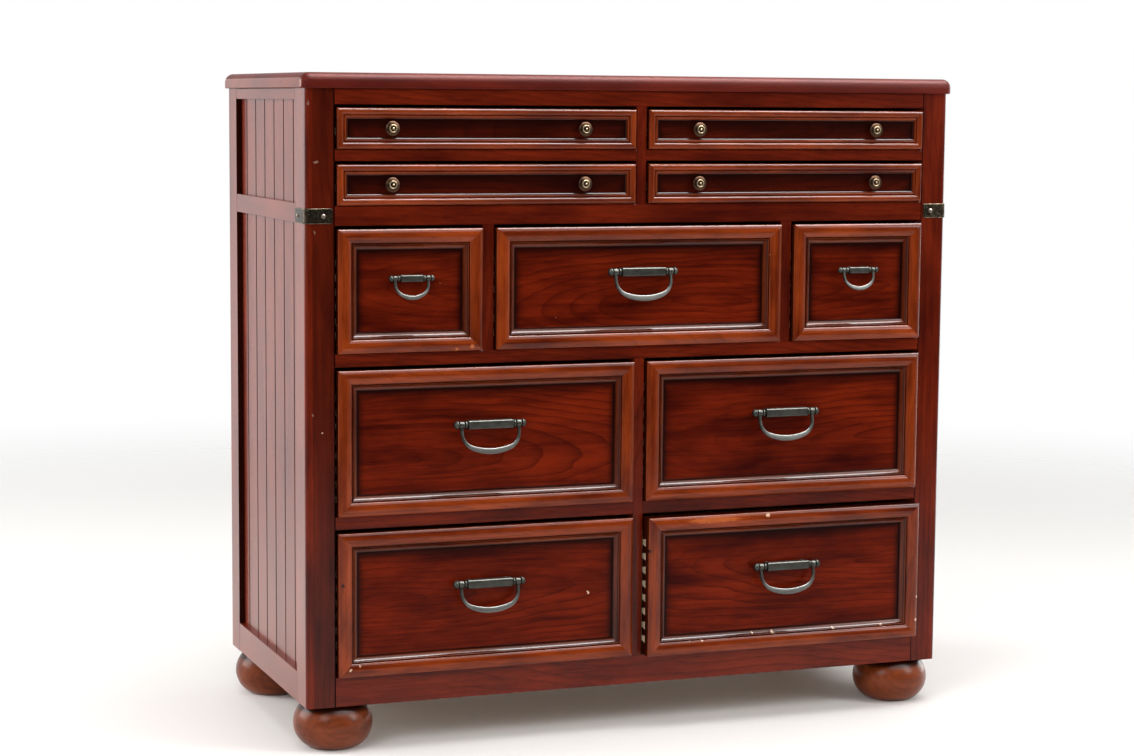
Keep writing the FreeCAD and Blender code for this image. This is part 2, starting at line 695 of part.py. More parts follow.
def make_front_frame(dust):
    """Rails and dividers of the front, grooved for the dust panels behind them."""
    full = ("-half_opening", "half_opening")
    rails = (
        ("bottom", "foot_height", "bottom_opening", "bottom_rail_depth"),
        ("middle", "middle_opening - middle_rail", "middle_opening", "post_depth"),
        ("waist", "waist_bottom", "second_opening", "post_depth"),
        ("top", "top_rail_bottom", "carcass_top", "post_depth"),
    )
    pieces = []
    for name, low, high, depth in rails:
        rail = bar(name + "_rail_bar", "x", *full, flipped(nosed(low, high, depth)))
        grooved = name in dust and depth == "post_depth"
        pieces.append(cut(name + "_rail_piece", rail, [dust[name]]) if grooved else rail)
    carcass_node("front_rails", pieces)

    short = []
    rows = (("lower", "lower_opening", "lower_rail"), ("upper", "upper_opening", "upper_rail"))
    halves = (
        ("left", ("-half_opening", "-centre_divider / 2")),
        ("right", ("centre_divider / 2", "half_opening")),
    )
    for name, top, height in rows:
        section = flipped(nosed(f"{top} - {height}", top, "post_depth"))
        for side, x in halves:
            rail = bar(f"{name}_{side}_rail_bar", "x", *x, section)
            short.append(cut(f"{name}_{side}_rail", rail, [dust[name]]))
    carcass_node("short_rails", short)

    dividers = (
        ("deep_divider", "0", "centre_divider", "bottom_opening", "middle_opening - middle_rail"),
        ("left_divider", "-divider_place", "middle_divider", "middle_opening", "waist_bottom"),
        ("right_divider", "divider_place", "middle_divider", "middle_opening", "waist_bottom"),
        ("shallow_divider", "0", "centre_divider", "second_opening", "top_rail_bottom"),
    )
    uprights = []
    for name, middle, width, low, high in dividers:
        section = nosed(f"{middle} - {width} / 2", f"{middle} + {width} / 2", "post_depth")
        uprights.append(bar(name, "z", low, high, section))
    carcass_node("drawer_dividers", uprights)


def level_supports(supports):
    """Middle and half width under the drawers of each runner between a row's ends."""
    return [(middle, f"({width} / 2 + gap_beside + runner_bearing)") for middle, width in SUPPORTS[supports]]


def make_dust_panels():
    """Thin panels between the runners of each level; returns them by level."""
    dust = {}
    y = ("post_depth - dust_tongue", "rear_face + dust_tongue")
    for level, top, supports in LEVELS:
        edges = ["-outer_bearing"]
        for middle, half in level_supports(supports):
            edges += [f"{middle} - {half}", f"{middle} + {half}"]
        edges.append("outer_bearing")
        middle_height = f"{top} - runner_height / 2"
        z = (f"{middle_height} - dust_thickness / 2", f"{middle_height} + dust_thickness / 2")
        panels = []
        for low, high in zip(edges[::2], edges[1::2]):
            x = (f"{low} - dust_tongue", f"{high} + dust_tongue")
            panels.append(block(f"{level}_dust_panel_{len(panels) + 1}", x, y, z))
        dust[level] = group(f"{level}_dust_panels", panels)
    carcass_node("dust_panels", list(dust.values()))
    return dust


def make_runners(dust):
    """Runners, kickers and guides of every level, and the rails that carry their ends."""
    y = ("post_depth", "rear_face")
    runners = []
    guides = []
    webs = [bottom_web(dust["bottom"])]
    for level, top, supports in LEVELS:
        z = (f"{top} - runner_height", top)
        above = (top, f"{top} + guide_height")
        spans = [("-side_inside", "-outer_bearing"), ("outer_bearing", "side_inside")]
        strips = [("-side_inside", "-outer_guide"), ("outer_guide", "side_inside")]
        for (middle, half), (place_of, width) in zip(level_supports(supports), SUPPORTS[supports]):
            spans.append((f"{middle} - {half}", f"{middle} + {half}"))
            thin = f"({width} / 2 + gap_beside - guide_gap)"
            strips.append((f"{place_of} - {thin}", f"{place_of} + {thin}"))
        for number, (x, strip) in enumerate(zip(spans, strips), 1):
            board = block(f"{level}_runner_{number}_bar", x, y, z)
            runners.append(cut(f"{level}_runner_{number}", board, [dust[level]]))
            guides.append(block(f"{level}_guide_{number}", strip, y, above))
        rear = block(f"{level}_rear_rail_bar", ("-half_back", "half_back"), ("rear_face", "back_face"), z)
        webs.append(cut(f"{level}_rear_rail", rear, [dust[level]]))
    top_z = ("top_rail_bottom", "carcass_top")
    half = level_supports("halves")[0][1]
    kicker_spans = (
        ("-side_inside", "-outer_bearing"),
        ("outer_bearing", "side_inside"),
        (f"-{half}", half),
    )
    for number, x in enumerate(kicker_spans, 1):
        runners.append(block(f"kicker_{number}", x, y, top_z))
    webs.append(block("top_rear_rail", ("-half_back", "half_back"), ("rear_face", "back_face"), top_z))
    carcass_node("drawer_runners", runners)
    carcass_node("drawer_guides", guides)
    carcass_node("web_rails", webs)


def bottom_web(dust):
    """Rail behind the bottom rail that carries the lowest runners' front ends."""
    y = ("bottom_rail_depth", "post_depth")
    z = ("bottom_opening - runner_height", "bottom_opening")
    return cut("bottom_web_rail", block("bottom_web_bar", ("-half_opening", "half_opening"), y, z), [dust])


def make_back():
    """Back panel between the rear posts."""
    y = ("back_face", "back_face + back_thickness")
    panel = block("back_board_panel", ("-half_back", "half_back"), y, ("foot_height", "carcass_top"))
    carcass_node("back_panel", [panel])


def make_feet():
    """Bun feet, the blocks over them and the bolts between."""
    foot = body("bun_foot")
    bore = "bolt_radius + bolt_fit"
    profile = sketch_on(foot, "XZ_Plane")
    outline(profile, [
        ("0", "0"),
        ("foot_base", "0"),
        ("foot_radius", "foot_waist"),
        ("foot_top", "foot_height"),
        (bore, "foot_height"),
        (bore, "foot_height - bolt_in_foot"),
        ("0", "foot_height - bolt_in_foot"),
    ], {
        1: ("right", quarter_radius("foot_radius - foot_base", "foot_waist")),
        2: ("right", quarter_radius("foot_radius - foot_top", "foot_height - foot_waist")),
    })
    turn(foot, profile, "Z_Axis")
    feet = []
    bolts = []
    blocks = []
    top = "bottom_opening - runner_height"
    rows = (
        ("front", "foot_front", "half_opening", ("bottom_rail_depth", "bottom_rail_depth + block_size")),
        ("rear", "foot_rear", "half_back", ("back_face - block_size", "back_face")),
    )
    length = "bolt_in_foot + bolt_in_block"
    for row, y, edge, deep in rows:
        for side, sign in (("left", "-"), ("right", "")):
            name = f"{row}_{side}"
            x = f"{sign}(foot_x)"
            spot = (x, y, "foot_height - bolt_in_foot")
            feet.append(copy(f"{name}_foot", foot, (x, y, "0")))
            bolts.append(drill(f"{name}_bolt", "bolt_radius", length, spot))
            hole = drill(f"{name}_bolt_hole", bore, length, spot)
            wide = (f"-{edge}", f"block_size - {edge}") if sign else (f"{edge} - block_size", edge)
            board = block(f"{name}_block_bar", wide, deep, ("foot_height", top))
            blocks.append(cut(f"{name}_block", board, [hole]))
    carcass_node("feet", feet)
    carcass_node("foot_bolts", bolts)
    carcass_node("corner_blocks", blocks)


# Corner straps

def strap_holes(name):
    """Holes for a left strap's two screws, through the strap and into the post."""
    radius = "tack_radius + tack_fit"
    length = "strap_thickness + tack_length"
    front = ("strap_screw_front - half_span", "-strap_thickness", "waist_middle")
    side = ("-half_span - strap_thickness", "strap_screw_side", "waist_middle")
    return [
        drill(name + "_front_hole", radius, length, front, INTO_BACK),
        drill(name + "_side_hole", radius, length, side, INTO_LEFT_SIDE),
    ]


def make_straps():
    """Metal straps bent round the front posts at the waist, with their screws."""
    inner = "(post_round - strap_ease)"
    corners = [
        ("strap_front", "-strap_thickness"),
        ("strap_front", "0"),
        (inner, "0"),
        ("0", inner),
        ("0", "strap_side"),
        ("-strap_thickness", "strap_side"),
        ("-strap_thickness", inner),
        (inner, "-strap_thickness"),
    ]
    arcs = {2: ("left", inner), 6: ("right", f"{inner} + strap_thickness")}
    low = "waist_middle - strap_height / 2"
    high = "waist_middle + strap_height / 2"
    strip = bar("strap_strip", "z", low, high, corners, arcs)
    strip.setExpression("Placement.Base.x", bound("-half_span"))
    strap = cut("strap", strip, strap_holes("strap"))
    carcass_node("corner_straps", both_sides([strap]))

    tack = body("tack")
    profile = sketch_on(tack, "XZ_Plane")
    outline(profile, [
        ("0", "-tack_length"),
        ("tack_radius", "-tack_length"),
        ("tack_radius", "0"),
        ("tack_head", "0"),
        ("0", "tack_head_height"),
    ], {3: ("right", quarter_radius("tack_head_height", "tack_head"))})
    turn(tack, profile, "Z_Axis")
    front = ("strap_screw_front - half_span", "-strap_thickness", "waist_middle")
    side = ("-half_span - strap_thickness", "strap_screw_side", "waist_middle")
    screws = group("strap_tacks", [
        copy("front_tack", tack, front, OUT_OF_FRONT),
        copy("side_tack", tack, side, OUT_OF_LEFT_SIDE),
    ])
    carcass_node("strap_screws", both_sides([screws]))


# Drawers

def moulding_section(pull):
    """Section of a front's moulding: pairs of depth and place inward, its arcs, and its width."""
    if pull:
        corners = [
            ("0", "0"),
            ("-band_edge", "0"),
            ("-band_edge", "band_width"),
            ("-quirk_floor", "band_width"),
            ("-quirk_floor", "band_width + quirk_width"),
            ("-cove_edge", "band_width + quirk_width"),
            ("-cove_foot", "moulding_width"),
            ("0", "moulding_width"),
        ]
        crown = arc_radius("band_width", "band_proud - band_edge")
        return corners, {1: ("left", crown), 5: ("right", "cove_radius")}, "moulding_width"
    corners = [
        ("0", "0"),
        ("-slim_edge", "0"),
        ("-slim_edge", "slim_band"),
        ("-slim_floor", "slim_band"),
        ("-slim_floor", "slim_band + slim_quirk"),
        ("-slim_bead_edge", "slim_band + slim_quirk"),
        ("-slim_bead_edge", "slim_inner"),
        ("-slim_floor", "slim_inner"),
        ("-slim_floor", "slim_inner + slim_quirk"),
        ("-slim_cove_edge", "slim_inner + slim_quirk"),
        ("-slim_cove_foot", "slim_width"),
        ("0", "slim_width"),
    ]
    arcs = {
        1: ("left", arc_radius("slim_band", "slim_proud - slim_edge")),
        5: ("left", arc_radius("slim_bead", "slim_bead_crown")),
        9: ("left", "slim_cove_radius"),
    }
    return corners, arcs, "slim_width"


def stick(name, length, section):
    """Length of moulding along X with its outer edge at the origin, mitred at both ends."""
    corners, arcs, width = section
    part = body(name)
    profile = sketch_on(part, "YZ_Plane")
    outline(profile, corners, arcs)
    pad(part, profile, length, both=True)
    mitres = sketch_on(part, "XZ_Plane")
    for sign in ("", "-"):
        outer = f"{sign}({length} / 2 + saw_margin)"
        inner = f"{sign}({length} / 2 - {width} - saw_margin)"
        outline(mitres, [
            (outer, "-saw_margin"),
            (outer, f"{width} + saw_margin"),
            (inner, f"{width} + saw_margin"),
        ])
    cut_through(part, mitres)
    return part


def drawer_side(name, width, height, drop):
    """Left side of a drawer with a row of dovetails at its front end."""
    part = body(name)
    board = sketch_on(part, "YZ_Plane")
    top = f"({height} - {drop})"
    outline(board, [
        ("front_board", "side_bottom"),
        ("drawer_depth", "side_bottom"),
        ("drawer_depth", top),
        ("front_board", top),
    ])
    pad(part, board, "side_board")
    tail = sketch_on(part, "YZ_Plane")
    middle = "side_bottom + first_tail + tail_tip / 2"
    outline(tail, [
        ("front_board", f"{middle} - tail_root / 2"),
        ("front_board", f"{middle} + tail_root / 2"),
        ("front_board - tail_length", f"{middle} + tail_tip / 2"),
        ("front_board - tail_length", f"{middle} - tail_tip / 2"),
    ])
    room = f"{top} - side_bottom - first_tail - tail_tip - last_tail"
    repeat(part, pad(part, tail, "side_board"), "Z_Axis", "tail_pitch", f"floor(({room}) / tail_pitch) + 1")
    part.setExpression("Placement.Base.x", bound(f"-{width} / 2"))
    return part


def make_drawer(pattern):
    """Front and box of one drawer pattern, from the middle of the front board's lower edge."""
    width, height, drop, pull = PATTERNS[pattern]
    inside = f"({width} / 2 - side_board)"
    groove = f"({inside} + bottom_groove)"
    bottom = block(
        pattern + "_bottom",
        (f"-{groove}", groove),
        ("front_board - bottom_groove", "drawer_depth"),
        ("board_bottom", "board_bottom + bottom_board"))
    back = block(
        pattern + "_back",
        (f"-{inside}", inside),
        ("drawer_depth - back_board", "drawer_depth"),
        ("board_bottom + bottom_board", f"{height} - {drop}"))
    dovetailed = drawer_side(pattern + "_side_board", width, height, drop)
    left = cut(pattern + "_left_side", dovetailed, [bottom])
    right = mirror(pattern + "_right_side", left)
    box = group(pattern + "_box", [left, right, back, bottom])

    board = block(pattern + "_board", (f"-{width} / 2", f"{width} / 2"), ("0", "front_board"), ("0", height))
    sockets = [dovetailed, mirror(pattern + "_right_sockets", dovetailed), bottom]
    core = cut(pattern + "_core", board, sockets + screw_holes(pattern, height, pull))
    section = moulding_section(pull)
    low = stick(pattern + "_bottom_stick", width, section)
    high = mirror(pattern + "_top_stick", low, Z_AXIS, f"{height} / 2")
    left_stick = stick(pattern + "_left_stick", height, section)
    left_stick.Placement.Rotation = UPRIGHT
    place(left_stick, f"-{width} / 2", "0", f"{height} / 2")
    right_stick = mirror(pattern + "_right_stick", left_stick)
    front = group(pattern + "_front", [core, low, high, left_stick, right_stick])
    return front, box


def screw_holes(pattern, height, pull):
    """Holes through a front board for the screws of its knobs or pull."""
    across = f"{pull}_posts" if pull else "knob_place"
    up = f"{height} / 2 + {pull}_lift" if pull else f"{height} / 2"
    holes = []
    for side, sign in (("left", "-"), ("right", "")):
        spot = (sign + across, "0", up)
        name = f"{pattern}_{side}_hole"
        holes.append(drill(name, "screw_radius + screw_ease", "front_board", spot, INTO_BACK))
    return holes


def screw(name, tip):
    """Round-headed screw along Y, its head behind a front board and its tip in front of it."""
    part = body(name)
    profile = sketch_on(part, "XY_Plane")
    outline(profile, [
        ("0", f"-({tip})"),
        ("screw_radius", f"-({tip})"),
        ("screw_radius", "front_board"),
        ("screw_head", "front_board"),
        ("0", "front_board + screw_head_height"),
    ], {3: ("right", quarter_radius("screw_head_height", "screw_head"))})
    turn(part, profile, "Y_Axis")
    return part


def make_knobs():
    """Pair of turned knobs with their screws, from the middle of a shallow front's lower edge."""
    knob = body("knob")
    bore = "screw_radius + screw_fit"
    rim_back = "knob_standoff"
    rim_front = "(knob_standoff + knob_rim)"
    face = f"({rim_front} + knob_slope)"
    ring_out = "(knob_groove_radius - knob_groove_width)"
    ring_in = f"({ring_out} - knob_ring_width)"
    ring_edge = f"({face} + knob_ring_rise - knob_ring_crown)"
    well = f"({face} + knob_ring_rise - knob_well)"
    profile = sketch_on(knob, "XY_Plane")
    outline(profile, [
        (bore, "0"),
        ("knob_foot_radius", "0"),
        ("knob_foot_radius", "-knob_foot"),
        ("knob_neck", "-knob_foot"),
        ("knob_neck", f"-{rim_back}"),
        ("knob_radius - knob_rim_round", f"-{rim_back}"),
        ("knob_radius - knob_rim_round", f"-{rim_front}"),
        ("knob_groove_radius", f"-{face}"),
        ("knob_groove_radius", f"-({face} - knob_groove_depth)"),
        (ring_out, f"-({face} - knob_groove_depth)"),
        (ring_out, f"-{ring_edge}"),
        (ring_in, f"-{ring_edge}"),
        (ring_in, f"-{well}"),
        ("knob_boss_radius", f"-{well}"),
        ("0", f"-({well} + knob_boss_rise)"),
        ("0", "-knob_bore"),
        (bore, "-knob_bore"),
    ], {
        5: ("left", arc_radius("knob_rim", "knob_rim_round")),
        10: ("left", arc_radius("knob_ring_width", "knob_ring_crown")),
        13: ("left", quarter_radius("knob_boss_radius", "knob_boss_rise")),
    })
    turn(knob, profile, "Y_Axis")
    fixing = screw("knob_screw", "knob_bore")
    pieces = []
    for side, sign in (("left", "-"), ("right", "")):
        spot = (f"{sign}knob_place", "0", "shallow_front / 2")
        pieces.append(copy(f"{side}_knob", knob, spot))
        pieces.append(copy(f"{side}_knob_screw", fixing, spot))
    return group("knobs", pieces)


def pull_ends(kind):
    """Places along a pull's axis: collar's inner and outer face, eye's ends, and finial's inner face."""
    collar = f"({kind}_barrel + {kind}_neck)"
    outer = f"({collar} + {kind}_collar)"
    eye = f"({outer} + eye_gap)"
    eye_end = f"({eye} + {kind}_eye)"
    return collar, outer, eye, eye_end, f"({eye_end} + eye_gap)"


def make_barrel(kind):
    """Square barrel along X with chamfered edges, and a neck, a collar and a pin turned on each end."""
    ends = pull_ends(kind)
    collar, outer, finial = ends[0], ends[1], ends[4]
    part = body(kind + "_barrel_piece")
    flat = f"{kind}_flats / 2"
    facet = f"({kind}_flats / 2 - {kind}_chamfer)"
    section = sketch_on(part, "YZ_Plane")
    eighth = [(flat, facet), (facet, flat)]
    half = eighth + [(f"-{y}", z) for y, z in eighth[::-1]]
    outline(section, half + [(y, f"-{z}") for y, z in half[::-1]])
    pad(part, section, f"2 * {kind}_barrel", both=True)
    turned = sketch_on(part, "XY_Plane")
    rim = f"{kind}_collar_radius - rim_round"
    outline(turned, [
        (f"{kind}_barrel - {kind}_neck", "0"),
        (f"{kind}_barrel - {kind}_neck", f"{kind}_neck_radius"),
        (collar, f"{kind}_neck_radius"),
        (collar, rim),
        (outer, rim),
        (outer, f"{kind}_pin"),
        (f"{finial} + {kind}_tenon", f"{kind}_pin"),
        (f"{finial} + {kind}_tenon", "0"),
    ], {3: ("left", arc_radius(f"{kind}_collar", "rim_round"))})
    reflect(part, turn(part, turned, "X_Axis"))
    holes = []
    for side, sign in (("left", "-"), ("right", "")):
        spot = (f"{sign}{kind}_posts", f"{kind}_pin + screw_wall", "0")
        length = f"{kind}_flats / 2"
        holes.append(drill(f"{kind}_{side}_barrel_hole", "screw_radius + screw_fit", length, spot, INTO_BACK))
    return cut(kind + "_barrel_drilled", part, holes)


def make_pull(kind):
    """Barrel, finials, posts and screws of a pull, about the bail's axis."""
    finial_face = pull_ends(kind)[4]
    finial = body(kind + "_finial_piece")
    bore = f"{kind}_pin + pin_fit"
    end = f"{finial_face} + {kind}_finial"
    edge = f"{kind}_finial_radius - rim_round"
    shoulder = f"{finial_face} + {kind}_collar"
    profile = sketch_on(finial, "XY_Plane")
    outline(profile, [
        (finial_face, bore),
        (finial_face, edge),
        (shoulder, edge),
        (end, "0"),
        (f"{finial_face} + {kind}_tenon", "0"),
        (f"{finial_face} + {kind}_tenon", bore),
    ], {
        1: ("left", arc_radius(f"{kind}_collar", "rim_round")),
        2: ("left", quarter_radius(f"{kind}_finial - {kind}_collar", edge)),
    })
    turn(finial, profile, "X_Axis")

    post = body(kind + "_post_piece")
    hole = "screw_radius + screw_fit"
    seat = f"{kind}_flats / 2"
    column = sketch_on(post, "XY_Plane")
    outline(column, [
        (hole, f"{kind}_out"),
        (f"{kind}_flange_radius", f"{kind}_out"),
        (f"{kind}_flange_radius", f"{kind}_out - flange"),
        (f"{kind}_post_radius", f"{kind}_out - flange"),
        (f"{kind}_post_radius", seat),
        (hole, seat),
    ])
    turn(post, column, "Y_Axis")

    fixing = screw(kind + "_pull_screw", f"{kind}_out - {kind}_pin - screw_wall")
    pieces = [make_barrel(kind), finial, mirror(kind + "_left_finial", finial)]
    for side, sign in (("left", "-"), ("right", "")):
        x = f"{sign}{kind}_posts"
        pieces.append(copy(f"{kind}_{side}_post", post, (x, "0", "0")))
        pieces.append(copy(f"{kind}_{side}_pull_screw", fixing, (x, f"{kind}_out", "0")))
    return group(kind + "_pull", pieces)


def bow_curve(half, corner, sag, drop):
    """Bow between two corner arcs: its radius, and where it meets the right-hand corner.

    The bow and a corner touch on the line through their two centres.
    """
    centre_x = f"({half} - {corner})"
    centre_z = f"({drop} - {corner} - {sag})"
    radius = f"(({centre_x} ^ 2 + {sag} ^ 2 + 2 * {sag} * {corner}) / (2 * {sag}))"
    share = f"({corner} / ({radius} - {corner}))"
    x = f"({centre_x} * (1 + {share}))"
    z = f"(-{centre_z} - {share} * ({radius} - {drop} + {centre_z}))"
    return radius, x, z


def make_bail(kind):
    """Hanging bail about its axis: a flat band, widened at two eyes that turn on the pins."""
    eye, eye_end = pull_ends(kind)[2:4]
    part = body(kind + "_bail")
    half = f"(({eye} + {eye_end} + {kind}_arm) / 2)"
    inner = f"({half} - {kind}_arm)"
    corner = f"{kind}_corner"
    inner_corner = f"({kind}_corner - {kind}_bow)"
    flare = f"{kind}_flare"
    flare_z = f"-{kind}_flare_drop"
    corner_z = f"-({kind}_drop - {kind}_corner - {kind}_sag)"
    sag = f"{kind}_sag"
    bow, bow_x, bow_z = bow_curve(half, corner, sag, f"{kind}_drop")
    inner_bow, inner_x, inner_z = bow_curve(inner, inner_corner, sag, f"({kind}_drop - {kind}_bow)")
    outside = [(f"({half} + {flare})", "0"), (half, flare_z), (half, corner_z), (bow_x, bow_z)]
    inside = [(f"({inner} - {flare})", "0"), (inner, flare_z), (inner, corner_z), (inner_x, inner_z)]
    corners = [(f"-{x}", z) for x, z in outside] + outside[::-1]
    corners += inside + [(f"-{x}", z) for x, z in inside[::-1]]
    flare_radius = quarter_radius(flare, f"{kind}_flare_drop")
    arcs = {
        0: ("left", flare_radius),
        2: ("right", corner),
        3: ("right", bow),
        4: ("right", corner),
        6: ("left", flare_radius),
        8: ("left", flare_radius),
        10: ("left", inner_corner),
        11: ("left", inner_bow),
        12: ("left", inner_corner),
        14: ("left", flare_radius),
    }
    band = sketch_on(part, "XZ_Plane")
    outline(band, corners, arcs)
    flat = pad(part, band, f"{kind}_band", both=True)

    def band_edge(points):
        """Test for an edge along the band's front or back."""
        lengthwise = abs(points[0].y - points[-1].y) < NEAR
        return lengthwise and any(abs(point.z) > NEAR for point in points)

    rounded(part, flat, f"{kind}_edge", band_edge)
    circle = sketch_on(part, "YZ_Plane")
    ring(circle, f"{kind}_eye_radius")
    circle.setExpression("AttachmentOffset.Base.z", bound(eye))
    reflect(part, pad(part, circle, f"{kind}_eye"))
    bore = sketch_on(part, "YZ_Plane")
    ring(bore, f"{kind}_pin + eye_fit")
    part.Tip = cut_through(part, bore)
    return part


def make_drawers():
    """All drawers: each front, box, and knobs or pull with its bail, in its own place."""
    fittings = {kind: (make_pull(kind), make_bail(kind)) for kind in ("large", "small")}
    knobs = make_knobs()
    patterns = {pattern: make_drawer(pattern) for pattern in PATTERNS}
    for name, pattern, x, opening in DRAWERS:
        height, pull = PATTERNS[pattern][1::2]
        y = "y_origin - ajar" if name == "bottom_right" else "y_origin"
        z = f"{opening} + gap_below"
        front, box = patterns[pattern]
        node(copy(name + "_front", front, (x, y, z)))
        node(copy(name + "_box", box, (x, y, z)))
        if pull is None:
            node(copy(name + "_knobs", knobs, (x, y, z)))
            continue
        spot = (x, f"{y} - {pull}_out", f"{z} + {height} / 2 + {pull}_lift")
        node(copy(name + "_pull", fittings[pull][0], spot))
        lean = FreeCAD.Rotation(-X_AXIS, size("bail_tilt"))
        bail = node(copy(name + "_bail", fittings[pull][1], spot, lean))
        bail.setExpression("Placement.Rotation.Angle", bound("bail_tilt"))


# Whole dresser

def check_and_write():
    """Stop on any failed object or shape, then write one file for each sub-part."""
    doc.recompute()
    for item in doc.Objects:
        if "Invalid" in item.State or "Error" in item.State:
            raise RuntimeError(f"{item.Label} failed: {item.State}")
    for item in nodes:
        shape = item.Shape
        if shape.isNull() or not shape.isValid() or not shape.Solids:
            raise RuntimeError(f"{item.Label} has no valid solid")
    os.makedirs("parts", exist_ok=True)
    for item in nodes:
        item.Shape.exportStep(f"parts/{item.Label}.step")


fill_sheet()
make_side_frames()
make_top()
dust_panels = make_dust_panels()
make_front_frame(dust_panels)
make_runners(dust_panels)
make_back()
make_feet()
make_straps()
make_drawers()
check_and_write()
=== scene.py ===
import json
import math

import bmesh
import bpy
import numpy as np
from bpy.props import FloatProperty, FloatVectorProperty, PointerProperty
from mathutils import Matrix, Vector


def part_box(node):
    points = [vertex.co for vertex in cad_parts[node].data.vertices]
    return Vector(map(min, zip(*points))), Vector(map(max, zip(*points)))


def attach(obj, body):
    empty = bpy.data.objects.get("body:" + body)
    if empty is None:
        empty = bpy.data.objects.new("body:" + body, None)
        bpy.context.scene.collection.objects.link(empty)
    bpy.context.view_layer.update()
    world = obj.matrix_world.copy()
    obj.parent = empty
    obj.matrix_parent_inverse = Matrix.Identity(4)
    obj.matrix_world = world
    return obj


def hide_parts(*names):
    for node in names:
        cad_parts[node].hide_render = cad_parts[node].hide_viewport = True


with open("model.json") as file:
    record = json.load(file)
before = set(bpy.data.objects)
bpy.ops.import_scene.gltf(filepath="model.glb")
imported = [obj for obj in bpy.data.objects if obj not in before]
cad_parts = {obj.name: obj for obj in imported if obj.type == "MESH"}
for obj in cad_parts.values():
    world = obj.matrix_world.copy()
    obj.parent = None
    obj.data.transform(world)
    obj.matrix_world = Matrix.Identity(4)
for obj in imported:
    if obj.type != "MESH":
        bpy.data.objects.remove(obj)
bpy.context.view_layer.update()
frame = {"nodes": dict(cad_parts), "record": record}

bl_info = {
    "name": "Dresser finish",
    "version": (1, 0, 0),
    "blender": (4, 5, 0),
    "location": "3D View > Sidebar > Dresser",
    "description": "Lacquered fronts, fittings, top and feet for a dresser with eleven drawers",
    "category": "Object",
}

NODES = frame["nodes"]
BODY_OF = {node: body for body, nodes in frame["record"]["behaviour"]["bodies"].items() for node in nodes}
SHALLOW = ("upper_left", "upper_right", "second_left", "second_right")
LARGE = ("middle_centre", "lower_left", "lower_right", "bottom_left", "bottom_right")
SMALL = ("middle_left", "middle_right")
X_AXIS, Y_AXIS, Z_AXIS = np.eye(3)
# Points that lie closer together than this are one point
SMALLEST = 1e-7
# Length of grain that is kept for each board, so that no two boards have the same figure
BOARD = 3.0
# Rise of a quarter of a circle over its chord, as a share of its radius
QUARTER_RISE = 1 - math.sqrt(0.5)


# Settings

def length(name, description, millimetres):
    """Length setting with its default in millimetres."""
    return FloatProperty(
        name=name, description=description, default=millimetres / 1000, unit="LENGTH", precision=5)


def colour(name, description, value):
    """Colour setting."""
    return FloatVectorProperty(
        name=name, description=description, default=value, subtype="COLOR", min=0, max=1)


class DresserFronts(bpy.types.PropertyGroup):
    """Sizes of the drawer fronts and their mouldings."""
    board: length("Board", "Thickness of a front board", 19)
    lap: length("Lap", "Wood left in front of the dovetails", 5)
    side: length("Side", "Thickness of a drawer's side", 12)
    tail_tip: length("Tail tip", "Height of a dovetail at its tip", 12.6)
    tail_root: length("Tail root", "Height of a dovetail at its root", 8.6)
    tail_pitch: length("Tail pitch", "Distance between dovetails", 23.4)
    first_tail: length("First tail", "Middle of the lowest dovetail above the front's lower edge", 27.6)
    last_tail: length("Last tail", "Least distance from a dovetail's middle to the top of the front", 37.3)
    shallow_last: length("Shallow last tail", "The same on a shallow front", 25.3)
    ease: length("Ease", "Rounding of the mouldings' arrises", 1)
    band: length("Band", "Width of the wide moulding's rounded band", 22)
    band_edge: length("Band edge", "Height of the band's edges", 9)
    band_crown: length("Band crown", "Rise of the band", 4.5)
    quirk: length("Quirk", "Width of the groove beside the band", 2.2)
    quirk_floor: length("Quirk floor", "Height of that groove's floor", 6.5)
    cove: length("Cove", "Width of the inner cove", 9.5)
    cove_edge: length("Cove edge", "Height of the cove at the groove", 9)
    cove_foot: length("Cove foot", "Height of the cove at the panel", 1.2)
    cove_hollow: length("Cove hollow", "Depth of the cove's hollow", 1.4)
    slim_band: length("Slim band", "Width of the slim moulding's rounded band", 11)
    slim_edge: length("Slim edge", "Height of that band's edges", 4.5)
    slim_crown: length("Slim crown", "Rise of that band", 4)
    slim_quirk: length("Slim quirk", "Width of the slim moulding's grooves", 1)
    slim_floor: length("Slim floor", "Height of those grooves' floors", 2.4)
    slim_bead: length("Slim bead", "Width of the slim moulding's bead", 3)
    slim_bead_edge: length("Slim bead edge", "Height of that bead's edges", 3.8)
    slim_bead_crown: length("Slim bead crown", "Rise of that bead", 0.6)
    slim_cove: length("Slim inner edge", "Width of the slim moulding's inner edge", 2.5)
    slim_cove_edge: length("Slim inner height", "Height of the inner edge at its groove", 3.2)
    slim_cove_foot: length("Slim inner foot", "Height of the inner edge at the panel", 0.8)


